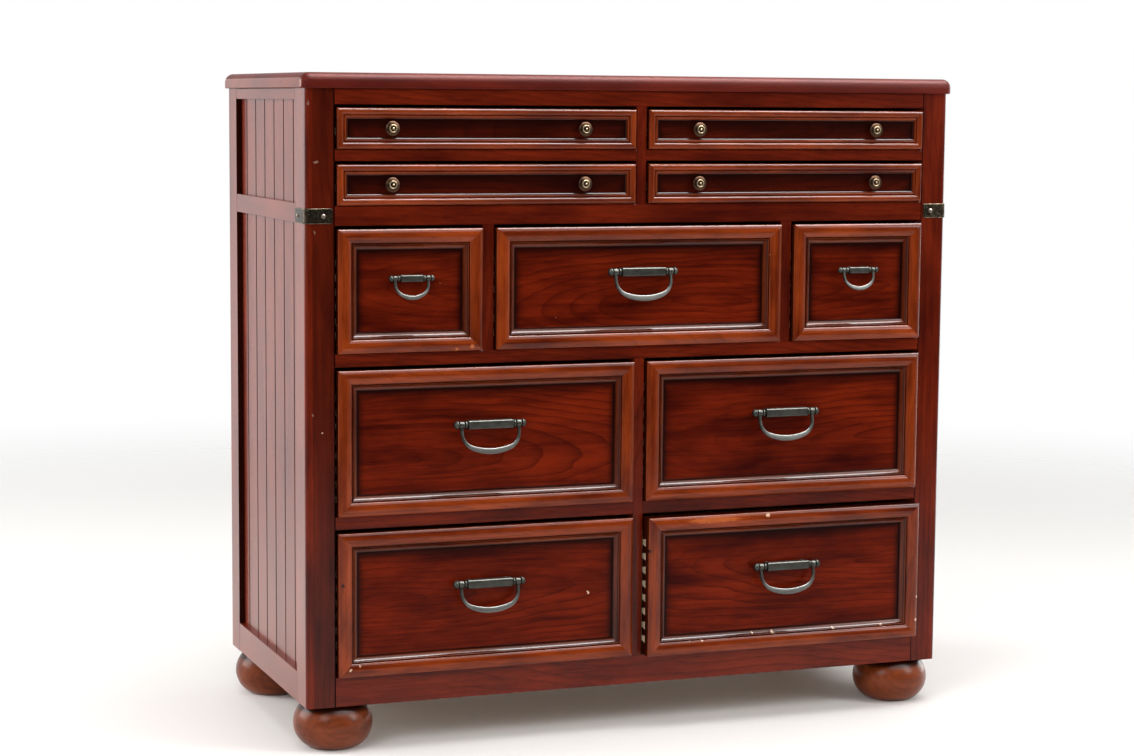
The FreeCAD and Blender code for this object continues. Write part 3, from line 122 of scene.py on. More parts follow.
class DresserCase(bpy.types.PropertyGroup):
    """Sizes of the top, the posts, the feet and the straps."""
    top_round: length("Top rounding", "Rounding of the top's upper edge", 15)
    top_under: length("Lower rounding", "Rounding of the top's lower edge", 2.5)
    top_corner: length("Top corner", "Radius of the top's front corners", 16)
    post_round: length("Post rounding", "Rounding of the front posts' outer edges", 9)
    post_ease: length("Post ease", "Easing of the front posts' inner edges", 0.8)
    foot_radius: length("Foot radius", "Largest radius of a foot", 65)
    foot_base: length("Foot base", "Radius of a foot's lower face", 38)
    foot_top: length("Foot top", "Radius of a foot's upper face", 46)
    foot_waist: length("Foot waist", "Height of a foot's largest radius", 40)
    strap: length("Strap", "Thickness of a corner strap", 2)
    strap_front: length("Strap front", "Strap's front leg from the post's outer face", 44)
    strap_bend: length("Strap bend", "Inner radius of a strap's bend", 8)
    dent: length("Dent", "Depth of a hammer mark on a strap", 0.32)
    dent_radius: length("Dent radius", "Radius of a hammer mark", 4.2)
    groove_place: length("Groove place", "One groove of the side panels, from the dresser's middle", -138.3)
    groove_pitch: length("Groove pitch", "Distance between the side panels' grooves", 62.6)
    # The grooves' dark lines are painted shade.
    groove_shade_half: length("Groove half", "Half the width of a groove's dark line", 3.2)
    joint_half: length("Joint half", "Half the width of the dark line where a rail meets a post", 1.2)


class DresserFittings(bpy.types.PropertyGroup):
    """Sizes that the knobs, pulls and bails share."""
    head: length("Screw head", "Height of a screw's head behind the board", 2.5)
    head_radius: length("Screw head radius", "Radius of a screw's head", 4)
    knob_spread: length("Knob spread", "Knobs from the middle of their drawer", 164)
    lean: FloatProperty(
        name="Lean", description="Bails' lean out from plumb", default=math.radians(12), subtype="ANGLE")


class DresserColours(bpy.types.PropertyGroup):
    """Colours of the finishes."""
    panel_dark: colour("Panel dark", "Dark grain of the drawer panels", (0.024, 0.0009, 0.0004))
    panel_light: colour("Panel light", "Light grain of the drawer panels", (0.150, 0.0120, 0.0022))
    frame_dark: colour("Frame dark", "Dark grain of posts, rails and top", (0.036, 0.0020, 0.0007))
    frame_light: colour("Frame light", "Light grain of posts, rails and top", (0.158, 0.0140, 0.0023))
    side_dark: colour("Side dark", "Dark grain of the faded sides", (0.100, 0.0100, 0.0035))
    side_light: colour("Side light", "Light grain of the faded sides", (0.215, 0.0290, 0.0105))
    scuffed: colour("Scuffed", "Scuff marks on the posts", (0.175, 0.090, 0.066))
    top_dark: colour("Top dark", "Dark grain of the top", (0.050, 0.0030, 0.0014))
    top_light: colour("Top light", "Light grain of the top", (0.120, 0.0105, 0.0038))
    post_dark: colour("Post side dark", "Dark grain of the posts' outer sides", (0.115, 0.0125, 0.0045))
    post_light: colour("Post side light", "Light grain of the posts' outer sides", (0.240, 0.0350, 0.0130))
    stick_dark: colour("Moulding dark", "Dark grain of the mouldings", (0.050, 0.0038, 0.0009))
    stick_light: colour("Moulding light", "Light grain of the mouldings", (0.265, 0.0400, 0.0060))
    foot_dark: colour("Foot dark", "Dark grain of the feet", (0.065, 0.0105, 0.0022))
    foot_light: colour("Foot light", "Light grain of the feet", (0.215, 0.0430, 0.0090))
    worn: colour("Worn", "Wood where the lacquer is rubbed through", (0.360, 0.085, 0.022))
    # The glaze colour also paints shade: in the mouldings' hollows, on the panels beside them, on the fronts'
    # edges in the gaps, in the side panels' grooves, beside the rear posts and on the feet under the case.
    glaze_and_shade: colour("Glaze", "Dark glaze in the mouldings' hollows", (0.006, 0.0012, 0.0008))
    chipped: colour("Chipped", "Bare wood in small chips", (0.620, 0.400, 0.260))
    pale_dark: colour("Box dark", "Dark grain of the drawer boxes", (0.380, 0.280, 0.175))
    pale_light: colour("Box light", "Light grain of the drawer boxes", (0.540, 0.440, 0.310))
    inner_dark: colour("Inside dark", "Dark grain of the runners and rails inside", (0.300, 0.185, 0.095))
    inner_light: colour("Inside light", "Light grain of the runners and rails inside", (0.470, 0.320, 0.190))
    back_dark: colour("Back dark", "Dark grain of the back", (0.130, 0.055, 0.025))
    back_light: colour("Back light", "Light grain of the back", (0.230, 0.110, 0.055))
    pewter: colour("Pewter", "Metal of the pulls", (0.052, 0.052, 0.046))
    pewter_worn: colour("Pewter worn", "Rubbed edges of the pulls", (0.150, 0.148, 0.138))
    brass: colour("Brass", "Metal of the knobs", (0.052, 0.028, 0.017))
    brass_worn: colour("Brass worn", "Rubbed edges of the knobs", (0.370, 0.280, 0.175))
    bronze: colour("Bronze", "Metal of the corner straps", (0.025, 0.020, 0.013))
    bronze_worn: colour("Bronze worn", "Rubbed edges of the straps", (0.310, 0.245, 0.170))
    screw_bronze: colour("Screw bronze", "Metal of the straps' screws", (0.160, 0.130, 0.110))
    screw_bronze_worn: colour("Screw bronze worn", "Rubbed edges of those screws", (0.500, 0.450, 0.400))
    zinc: colour("Zinc", "Metal of the foot bolts", (0.560, 0.560, 0.580))
    zinc_worn: colour("Zinc worn", "Rubbed edges of the foot bolts", (0.720, 0.720, 0.730))
    tarnish: colour("Tarnish", "Dirt in the metal's hollows", (0.020, 0.017, 0.014))


class DresserStage(bpy.types.PropertyGroup):
    """Floor, lamps and camera."""
    floor: colour("Floor", "Colour of the floor", (0.89, 0.87, 0.845))
    lens: FloatProperty(name="Lens", description="Focal length of the camera", default=79.25, unit="CAMERA")
    eye: FloatVectorProperty(
        name="Camera place", description="Where the camera stands", default=(-1.5891, -4.0562, 1.0518),
        subtype="TRANSLATION", unit="LENGTH")
    yaw: FloatProperty(name="Yaw", description="Turn to the right", default=0.3656, subtype="ANGLE")
    pitch: FloatProperty(name="Pitch", description="Tilt downwards", default=0.1106, subtype="ANGLE")
    roll: FloatProperty(
        name="Roll", description="Turn about the line of sight", default=0.0080, subtype="ANGLE")


def settings(name):
    """Settings of one group, as the scene holds them."""
    return getattr(bpy.context.scene, "dresser_" + name)


# Shapes

class Form:
    """Closed shells of one piece, with grain coordinates at face corners, and wear and painted shade at
    points.
    """

    def __init__(self):
        self.points = []
        self.wear = []
        self.faces = []
        self.grain = []
        self.finish = []
        self.count = 0

    def shell(self, grids, caps=(), finish=0):
        """Add one shell, welded where its grids and caps meet.

        A grid has points, grain coordinates and wear by row and column. Neighbouring rows and columns
        make four-cornered faces. A cap is one flat face through a ring of points.
        """
        items = [*grids, *caps]
        blocks = []
        start = 0
        for item in items:
            shape = item[0].shape[:-1]
            number = start + np.arange(math.prod(shape)).reshape(shape)
            start += number.size
            blocks.append(number)
        points = np.concatenate([item[0].reshape(-1, 3) for item in items])
        grain = np.concatenate([item[1].reshape(-1, 2) for item in items])
        wear = np.concatenate([np.broadcast_to(item[2], item[0].shape[:-1]).ravel() for item in items])
        steps = np.round(points / SMALLEST)
        first, welded = np.unique(steps, axis=0, return_index=True, return_inverse=True)[1:]
        welded = welded.ravel() + self.count
        for number in blocks:
            if number.ndim == 1:
                self.add(welded[number][None], grain[number][None], finish)
                continue
            corners = np.stack([number[:-1, :-1], number[1:, :-1], number[1:, 1:], number[:-1, 1:]], -1)
            corners = corners.reshape(-1, 4)
            kept = welded[corners] != np.roll(welded[corners], -1, axis=1)
            for sides in (4, 3):
                rows = kept.sum(1) == sides
                chosen = corners[rows][kept[rows]].reshape(-1, sides)
                self.add(welded[chosen], grain[chosen], finish)
        self.points.append(points[first])
        self.wear.append(wear[first])
        self.count += len(first)

    def add(self, faces, grain, finish):
        """Add faces with the same number of corners."""
        self.faces += faces.tolist()
        self.grain.append(grain.reshape(-1, 2))
        self.finish += [finish] * len(faces)

    def piece(self, name, nodes, finishes, sharp=32):
        """Object that stands for CAD nodes, with outward faces and smooth shading up to a sharp angle."""
        mesh = bpy.data.meshes.new(name)
        mesh.from_pydata(np.concatenate(self.points).tolist(), [], self.faces)
        mesh.uv_layers.new(name="Grain").data.foreach_set("uv", np.concatenate(self.grain).ravel())
        mesh.attributes.new("wear", "FLOAT", "POINT").data.foreach_set("value", np.concatenate(self.wear))
        mesh.polygons.foreach_set("material_index", self.finish)
        for finish in finishes:
            mesh.materials.append(finish)
        shells = bmesh.new()
        shells.from_mesh(mesh)
        bmesh.ops.recalc_face_normals(shells, faces=shells.faces)
        shells.to_mesh(mesh)
        shells.free()
        mesh.shade_smooth()
        mesh.set_sharp_from_angle(angle=math.radians(sharp))
        made = bpy.data.objects.new(name, mesh)
        bpy.context.scene.collection.objects.link(made)
        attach(made, BODY_OF[nodes[0]])
        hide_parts(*nodes)
        return made


def arc(start, end, rise, steps=10):
    """Points of the arc from start to end that rises to the left of that direction.

    With half the opening angle a and t from -1 to 1, the arc lies at R sin(at) along the chord and at
    R (cos(at) - cos a) beside it.
    """
    start = np.array(start, float)
    run = np.array(end, float) - start
    chord = np.hypot(*run)
    half = 2 * math.atan(2 * rise / chord)
    radius = chord / (2 * math.sin(half))
    turn = np.linspace(-half, half, steps + 1)[:, None]
    along = run / chord
    aside = np.array([-along[1], along[0]])
    middle = start + run / 2
    return middle + radius * (np.sin(turn) * along + (np.cos(turn) - math.cos(half)) * aside)


def eased(outline, radius, closed=True, steps=4):
    """Outline with its corners turned into short curves.

    Each corner becomes the quadratic curve between the points that lie one radius, or less than half a
    side, before and after it.
    """
    outline = np.array(outline, float)
    before = np.roll(outline, 1, axis=0) - outline
    after = np.roll(outline, -1, axis=0) - outline
    radius = np.broadcast_to(radius, len(outline)).copy()
    if not closed:
        radius[[0, -1]] = 0
    spans = [np.linalg.norm(way, axis=1) for way in (before, after)]
    start, end = [
        outline + way / np.maximum(span, SMALLEST)[:, None] * np.minimum(radius, 0.45 * span)[:, None]
        for way, span in zip((before, after), spans)]
    t = np.linspace(0, 1, steps)[None, :, None]
    curve = (1 - t) ** 2 * start[:, None] + 2 * t * (1 - t) * outline[:, None] + t ** 2 * end[:, None]
    curve = curve.reshape(-1, 2)
    kept = np.linalg.norm(np.diff(curve, axis=0, prepend=curve[-1:]), axis=1) > 1e-6
    kept[0] = True
    return curve[kept]


def closed_up(outline):
    """Outline with its first point repeated at its end."""
    return np.concatenate([outline, outline[:1]])


def run_along(outline):
    """Distance along an outline, from its first point."""
    return np.concatenate([[0], np.cumsum(np.linalg.norm(np.diff(outline, axis=0), axis=1))])


def near(outline, spots, reach):
    """Weight by the distance d to the nearest of some spots, as exp(-(d / reach)^2), for wear, tarnish and
    painted shade.
    """
    distance = np.linalg.norm(outline[:, None] - np.array(spots, float)[None], axis=2).min(1)
    return np.exp(-(distance / reach) ** 2)


def prism(form, outline, axis, stations, across, grain, wear=0.0):
    """Closed outline carried straight along one axis through its stations, with a flat face at each end.

    across names the two axes of the outline's plane, and grain gives the grain coordinates of points. The
    wear, with painted shade below zero, is a value, one value for each point of the outline, or a function of
    points.
    """
    ring = closed_up(outline)
    rows = np.empty((len(stations), len(ring), 3))
    rows[..., across[0]] = ring[:, 0]
    rows[..., across[1]] = ring[:, 1]
    rows[..., axis] = np.array(stations)[:, None]
    if callable(wear):
        worn = wear(rows)
    else:
        worn = np.broadcast_to(closed_up(np.broadcast_to(wear, len(outline))), rows.shape[:2])
    caps = [(rows[i, :-1], grain(rows[i, :-1]), worn[i, :-1]) for i in (0, -1)]
    form.shell([(rows, grain(rows), worn)], caps)


def turned(form, profile, place, axes, grain_start=0.0, wear=0.0, steps=48):
    """Profile of radius and height turned about an axis: (r cos a, r sin a, h) in the given axes."""
    angle = np.linspace(0, 2 * math.pi, steps + 1)
    angle[-1] = 0
    across, aside, along = axes
    radius = profile[:, 0, None, None]
    height = profile[:, 1, None, None]
    round_about = np.cos(angle)[:, None] * across + np.sin(angle)[:, None] * aside
    points = place + radius * round_about + height * along
    turn = np.linspace(0, 1, steps + 1)[None] * 2 * math.pi * profile[:, 0].max()
    rows = np.broadcast_to(run_along(profile)[:, None], points.shape[:2])
    grain = np.stack([np.broadcast_to(turn, rows.shape) + grain_start, rows + grain_start], -1)
    worn = np.broadcast_to(np.broadcast_to(wear, len(profile))[:, None], rows.shape)
    form.shell([(points, grain, worn)])


# Finishes

# Roughness and refractive index of each part's lacquer, and the strength of its growth rings
LACQUERS = {
    "panel": (0.24, 1.14, 0.70), "frame": (0.20, 1.27, 0.55), "side": (0.22, 1.45, 0.30),
    "stick": (0.12, 1.31, 0.35), "foot": (0.28, 1.30, 0.30), "post": (0.22, 1.60, 0.30),
    "top": (0.42, 1.19, 0.40),
}
# Chips and rubs on each part: place along X and Z, half width and half height in millimetres, and tint
CHIPS = {
    "stick": [
        (130, 352.5, 75, 7.5, "worn"), (229, 355, 5.5, 5.5, "chipped"), (13, 305, 4, 4, "glaze_and_shade"),
        (110, 146.3, 3, 3, "chipped"), (205, 153, 3, 3, "chipped"), (243, 152, 4, 4, "chipped"),
        (262, 161, 3, 3, "worn"), (358, 150.5, 3, 3, "chipped"), (451, 151, 3, 3, "chipped"),
        (518.5, 196, 3.5, 3.5, "chipped"), (518, 155, 4, 4, "chipped"), (-514, 276.5, 4, 4, "glaze_and_shade"),
        (-502, 138, 3, 3, "chipped"), (-486, 143.5, 3, 3, "chipped"), (-298, 657, 6, 6, "worn"),
        (-323, 652.5, 4, 4, "worn")],
    "panel": [(-88, 237, 3, 3, "chipped")],
    "frame": [
        (-560, 553, 2, 4, "scuffed"), (-544, 523, 2.5, 2.5, "chipped"), (-553, 953, 7, 2.6, "scuffed"),
        (-566, 1045, 2, 6, "scuffed"), (-557, 842, 2, 5, "scuffed")],
}
# Largest distance by which noise stirs a chip's outline
CHIP_STIR = 0.008


def put(tree, kind, inputs=None, **choices):
    """Add a node, with a value or a link for each named input."""
    made = tree.nodes.new("ShaderNode" + kind)
    for key, value in choices.items():
        setattr(made, key, value)
    for key, value in (inputs or {}).items():
        if isinstance(value, bpy.types.NodeSocket):
            tree.links.new(value, made.inputs[key])
        else:
            made.inputs[key].default_value = value
    return made


def maths(tree, operation, first, second=0.0, clamp=False):
    """Result of one step of arithmetic."""
    return put(tree, "Math", {0: first, 1: second}, operation=operation, use_clamp=clamp).outputs[0]


def blend(tree, factor, first, second):
    """Two colours mixed by a factor."""
    linked = bpy.types.NodeSocket
    first, second = [item if isinstance(item, linked) else (*item, 1) for item in (first, second)]
    return put(tree, "Mix", {0: factor, 6: first, 7: second}, data_type="RGBA").outputs[2]


def fade(tree, value, low, high):
    """Value brought from the range low to high into 0 to 1, with soft ends."""
    made = put(tree, "MapRange", {0: value, 1: low, 2: high}, interpolation_type="SMOOTHSTEP")
    return made.outputs[0]


def cloud(tree, vector, scale, detail=3.0, roughness=0.55):
    """Soft noise from 0 to 1."""
    inputs = {"Vector": vector, "Scale": scale, "Detail": detail, "Roughness": roughness}
    return put(tree, "TexNoise", inputs).outputs[0]


def stretched(tree, vector, scale, turn=(0, 0, 0), shift=(0, 0, 0)):
    """Coordinates scaled, then turned, then shifted."""
    inputs = {"Vector": vector, "Scale": scale, "Rotation": turn, "Location": shift}
    return put(tree, "Mapping", inputs).outputs[0]


def new_finish(name):
    """Empty material with its shader: name, tree and shader."""
    material = bpy.data.materials.new(name)
    material.use_nodes = True
    tree = material.node_tree
    tree.nodes.clear()
    shader = put(tree, "BsdfPrincipled")
    output = put(tree, "OutputMaterial")
    tree.links.new(shader.outputs[0], output.inputs[0])
    return material, tree, shader


def along_grain(tree, axis):
    """Coordinates whose first value runs along the grain: the piece's own, or the object's along one axis."""
    if axis is None:
        return put(tree, "UVMap", uv_map="Grain").outputs[0]
    turns = {"x": (0, 0, 0), "y": (0, 0, -math.pi / 2), "z": (0, math.pi / 2, 0)}
    return stretched(tree, put(tree, "TexCoord").outputs["Object"], (1, 1, 1), turns[axis])


def growth_rings(tree, vector, spacing):
    """Rings about a slightly tilted axis along the grain, which give the arches of a flat-sawn board.

    A board's own first coordinate starts anew every BOARD metres, so that each board has noise of its own.
    """
    parts = put(tree, "SeparateXYZ", {0: vector}).outputs
    along = put(tree, "Math", {0: parts[0], 1: BOARD / 2, 2: -BOARD / 2}, operation="WRAP").outputs[0]
    sway = maths(tree, "SUBTRACT", cloud(tree, stretched(tree, vector, (2.4, 11, 11)), 1.0, 3.0), 0.5)
    slow = stretched(tree, vector, (2.0, 4, 4), shift=(5, 2, 1))
    roll = maths(tree, "SUBTRACT", cloud(tree, slow, 1.0, 2.0), 0.5)
    across = maths(tree, "ADD", parts[1], maths(tree, "MULTIPLY", sway, 0.045))
    tilt = maths(tree, "ADD", maths(tree, "MULTIPLY", along, 0.12), maths(tree, "MULTIPLY", roll, 0.07))
    deep = maths(tree, "ADD", maths(tree, "ADD", parts[2], 0.03), tilt)
    bent = put(tree, "CombineXYZ", {1: across, 2: deep}).outputs[0]
    return put(tree, "TexWave", {
        "Vector": bent, "Scale": 0.314 / spacing, "Distortion": 1.0, "Detail": 2.0, "Detail Scale": 2.0},
        wave_type="RINGS", rings_direction="X", wave_profile="SAW").outputs[1]


def grained(tree, vector, dark, light, figure):
    """Colour of wood with growth rings, streaks, mottling and pores, and the streaks by themselves."""
    rings = growth_rings(tree, vector, 0.0095)
    streaks = cloud(tree, stretched(tree, vector, (4, 130, 130)), 1.0, 4.0, 0.65)
    mottle = cloud(tree, stretched(tree, vector, (7, 24, 24), shift=(3, 1, 2)), 1.0, 3.0)
    drift = cloud(tree, stretched(tree, vector, (2.0, 7, 7), shift=(1, 4, 2)), 1.0, 2.0)
    pores = fade(tree, cloud(tree, stretched(tree, vector, (40, 800, 800)), 1.0, 1.0), 0.58, 0.74)
    tone = maths(tree, "ADD", maths(tree, "MULTIPLY", streaks, 0.5), maths(tree, "MULTIPLY", mottle, 0.75))
    tone = maths(tree, "ADD", tone, maths(tree, "MULTIPLY", drift, 0.6))
    body = blend(tree, fade(tree, tone, 0.60, 1.25), dark, light)
    lines = maths(tree, "MULTIPLY", maths(tree, "POWER", rings, 4.0), fade(tree, drift, 0.25, 0.65))
    late_wood, pore = [tuple(value * share for value in dark) for share in (0.45, 0.35)]
    body = blend(tree, maths(tree, "MULTIPLY", lines, 0.85 * figure), body, late_wood)
    return blend(tree, maths(tree, "MULTIPLY", pores, 0.4), body, pore), streaks


def handled(tree, body, place):
    """Colour under dark glaze and painted shade where wear is below zero, rubbed and nicked where it is
    above, and the lacquer left.
    """
    tones = settings("colours")
    rubbed = put(tree, "Attribute", attribute_name="wear").outputs["Fac"]
    glaze_and_shade = fade(tree, rubbed, -0.15, -0.8)
    body = blend(tree, maths(tree, "MULTIPLY", glaze_and_shade, 0.93), body, tones.glaze_and_shade)
    shine = maths(tree, "SUBTRACT", 1.0, maths(tree, "MULTIPLY", fade(tree, rubbed, -0.75, -1.0), 0.85))
    patches = cloud(tree, place, 9.0, 4.0, 0.6)
    thin = fade(tree, maths(tree, "MULTIPLY", rubbed, patches), 0.30, 0.62)
    body = blend(tree, maths(tree, "MULTIPLY", thin, 0.75), body, tones.worn)
    grit = cloud(tree, place, 130.0, 3.0, 0.6)
    nicks = fade(tree, maths(tree, "ADD", maths(tree, "MULTIPLY", rubbed, 0.08), grit), 0.785, 0.81)
    return blend(tree, nicks, body, tones.chipped), shine


def darkened(tree, body, shine, share):
    """Colour and lacquer where a share of the wood is under dark glaze, which paints shade in grooves and
    beside the rear posts, and dark joints.
    """
    body = blend(tree, maths(tree, "MULTIPLY", share, 0.92), body, settings("colours").glaze_and_shade)
    return body, maths(tree, "SUBTRACT", shine, maths(tree, "MULTIPLY", share, 0.9), clamp=True)


def chipped(tree, body, place, chips):
    """Colour with small ragged chips: each lies where x and z, over its half width and height, are small."""
    tones = settings("colours")
    stir = put(tree, "TexNoise", {"Vector": place, "Scale": 330.0, "Detail": 3.0}).outputs[1]
    stir = put(tree, "VectorMath", {0: stir, 1: (CHIP_STIR,) * 3}, operation="MULTIPLY").outputs[0]
    ragged = put(tree, "VectorMath", {0: place, 1: stir}).outputs[0]
    ragged = put(tree, "VectorMath", {0: ragged, 1: (1, 0, 1)}, operation="MULTIPLY").outputs[0]
    for x, z, half_width, half_height, tint in chips:
        middle = (x / 1000 + CHIP_STIR / 2, 0, z / 1000 + CHIP_STIR / 2)
        scale = (1000 / half_width, 0, 1000 / half_height)
        aside = put(tree, "VectorMath", {0: ragged, 1: middle}, operation="SUBTRACT").outputs[0]
        aside = put(tree, "VectorMath", {0: aside, 1: scale}, operation="MULTIPLY").outputs[0]
        distance = put(tree, "VectorMath", {0: aside}, operation="LENGTH").outputs["Value"]
        body = blend(tree, fade(tree, distance, 0.75, 0.45), body, getattr(tones, tint))
    return body


def new_wood(name, part, axis, figure):
    """New material with the grain of one part: the material, its tree, its shader and its colour."""
    tones = settings("colours")
    dark, light = [tuple(getattr(tones, f"{part}_{tone}")) for tone in ("dark", "light")]
    material, tree, shader = new_finish(name)
    body, streaks = grained(tree, along_grain(tree, axis), dark, light, figure)
    relief = put(tree, "Bump", {"Strength": 0.10, "Distance": 0.0006, "Height": streaks})
    tree.links.new(relief.outputs[0], shader.inputs["Normal"])
    return material, tree, shader, body


def lacquer(part, axis=None, grooves=None, shaded_edge=None):
    """Lacquered wood of the panels, the frame, the sides, the top, the mouldings or the feet.

    grooves holds one place, the pitch and half the width of lines of dark glaze along Y, which are painted
    shade in the side panels' grooves and dark joints on the side rails. The last argument holds two places
    along Y where the wood goes from plain to painted shade.
    """
    kinds = {"lacquer": True, part: True, axis: axis, "grooved": grooves, "edged": shaded_edge}
    name = "_".join(kind for kind, present in kinds.items() if present)
    found = bpy.data.materials.get(name)
    if found:
        return found
    rough, index, figure = LACQUERS[part]
    material, tree, shader, body = new_wood(name, part, axis, figure)
    place = put(tree, "TexCoord").outputs["Object"]
    body, shine = handled(tree, body, place)
    depth = put(tree, "SeparateXYZ", {0: place}).outputs[1]
    if grooves:
        first, pitch, half = grooves
        level = maths(tree, "SUBTRACT", depth, first)
        level = put(tree, "Math", {0: level, 1: pitch / 2, 2: -pitch / 2}, operation="WRAP").outputs[0]
        line = fade(tree, maths(tree, "ABSOLUTE", level), half, half * 0.6)
        body, shine = darkened(tree, body, shine, line)
    if shaded_edge:
        body, shine = darkened(tree, body, shine, fade(tree, depth, *shaded_edge))
    if part in CHIPS:
        body = chipped(tree, body, place, CHIPS[part])
    tree.links.new(body, shader.inputs["Base Color"])
    shader.inputs["Roughness"].default_value = 0.5
    shader.inputs["Specular IOR Level"].default_value = 0.0
    tree.links.new(shine, shader.inputs["Coat Weight"])
    shader.inputs["Coat Roughness"].default_value = rough
    shader.inputs["Coat IOR"].default_value = index
    ripple = cloud(tree, place, 22.0, 2.0)
    skin = put(tree, "Bump", {"Strength": 0.05, "Distance": 0.002, "Height": ripple})
    tree.links.new(skin.outputs[0], shader.inputs["Coat Normal"])
    return material


def plain_wood(part, axis):
    """Wood without lacquer, for what lies inside the dresser."""
    name = f"wood_{part}_{axis}"
    found = bpy.data.materials.get(name)
    if found:
        return found
    material, tree, shader, body = new_wood(name, part, axis, 0.7)
    tree.links.new(body, shader.inputs["Base Color"])
    shader.inputs["Roughness"].default_value = 0.62
    return material


def metal(name, roughness, uneven_skin=0.12, flecks=0.0):
    """Metal of one kind of fitting, with tarnish in hollows, rubbed edges, flecks and an uneven skin."""
    found = bpy.data.materials.get(name)
    if found:
        return found
    tones = settings("colours")
    base, rubbed = [tuple(getattr(tones, tone)) for tone in (name, name + "_worn")]
    material, tree, shader = new_finish(name)
    place = put(tree, "TexCoord").outputs["Object"]
    patches = cloud(tree, place, 90.0, 4.0, 0.6)
    grains = cloud(tree, place, 700.0, 2.0)
    edge = put(tree, "Attribute", attribute_name="wear").outputs["Fac"]
    body = blend(tree, fade(tree, patches, 0.30, 0.72), base, tuple(value * 1.35 for value in base))
    bright = fade(tree, maths(tree, "MULTIPLY", edge, maths(tree, "ADD", patches, 0.35)), 0.25, 0.85)
    body = blend(tree, bright, body, rubbed)
    if flecks:
        spots = fade(tree, cloud(tree, place, 420.0, 3.0, 0.6), 0.55, 0.66)
        body = blend(tree, maths(tree, "MULTIPLY", spots, flecks), body, rubbed)
    hollow = fade(tree, edge, 0.0, -1.0)
    body = blend(tree, maths(tree, "MULTIPLY", hollow, 0.85), body, tones.tarnish)
    tree.links.new(body, shader.inputs["Base Color"])
    shader.inputs["Metallic"].default_value = 1.0
    rough = maths(tree, "ADD", maths(tree, "MULTIPLY", patches, 0.25), roughness - 0.12)
    tree.links.new(rough, shader.inputs["Roughness"])
    uneven = maths(tree, "ADD", patches, maths(tree, "MULTIPLY", grains, 0.5))
    skin = put(tree, "Bump", {"Strength": uneven_skin, "Distance": 0.0004, "Height": uneven})
    tree.links.new(skin.outputs[0], shader.inputs["Normal"])
    return material


def finish_sides(made, finish, least):
    """Second finish on the faces of a piece whose normal has at least a given share along X."""
    mesh = made.data
    normals = np.empty(3 * len(mesh.polygons), np.float32)
    mesh.polygons.foreach_get("normal", normals)
    mesh.materials.append(finish)
    mesh.polygons.foreach_set("material_index", (np.abs(normals[::3]) > least).astype(np.int32))


def dress(nodes, finish):
    """Give CAD nodes that stay as they are a finish."""
    for node in nodes:
        mesh = NODES[node].data
        mesh.materials.clear()
        mesh.materials.append(finish)


# Drawer fronts

def wide_moulding(sizes):
    """Section of the wide moulding: place inward and height, with its worn spots, and the spots of dark glaze
    and painted shade in its hollows.
    """
    inner = sizes.band + sizes.quirk
    width = inner + sizes.cove
    crown = arc((0, sizes.band_edge), (sizes.band, sizes.band_edge), sizes.band_crown, 14)
    cove = arc((inner, sizes.cove_edge), (width, sizes.cove_foot), -sizes.cove_hollow, 9)
    floor = [(sizes.band, sizes.quirk_floor), (inner, sizes.quirk_floor)]
    worn = [crown[0], crown[-1], cove[0]]
    dirt_and_shade = [*floor, cove[-1], (width, 0)]
    wall = [(0, 0), (0, 0.7 * sizes.band_edge)]
    return np.concatenate([wall, crown, floor, cove, [(width, 0)]]), worn, dirt_and_shade, cove[2:]


def slim_moulding(sizes):
    """Section of the slim moulding: a rounded band, a bead and an inner edge with grooves between."""
    first = sizes.slim_band + sizes.slim_quirk
    second = first + sizes.slim_bead
    third = second + sizes.slim_quirk
    width = third + sizes.slim_cove
    crown = arc((0, sizes.slim_edge), (sizes.slim_band, sizes.slim_edge), sizes.slim_crown, 12)
    bead = arc((first, sizes.slim_bead_edge), (second, sizes.slim_bead_edge), sizes.slim_bead_crown, 5)
    cove = arc((third, sizes.slim_cove_edge), (width, sizes.slim_cove_foot), 0.0002, 4)
    floor = sizes.slim_floor
    worn = [crown[0], crown[-1], bead[0], bead[-1], cove[0]]
    grooves = [(sizes.slim_band, floor), (first, floor), (second, floor), (third, floor)]
    dirt_and_shade = [*grooves, cove[-1], (width, 0)]
    wall = [(0, 0), (0, 0.7 * sizes.slim_edge)]
    section = np.concatenate([wall, crown, grooves[:2], bead, grooves[2:], cove, [(width, 0)]])
    return section, worn, dirt_and_shade, cove[1:]


# Painted shade, as wear below zero: on a front's edges, which stand in the dark gap beside the frame, and on
# its panel right beside the moulding
EDGE_SHADE = -0.62
DEEP_SHADE = -0.8
# Reach of the painted shade on a panel: beside the upright mouldings, under the upper one and over the lower
# one
SHADE_BESIDE, SHADE_UNDER, SHADE_OVER = 0.011, 0.018, 0.004


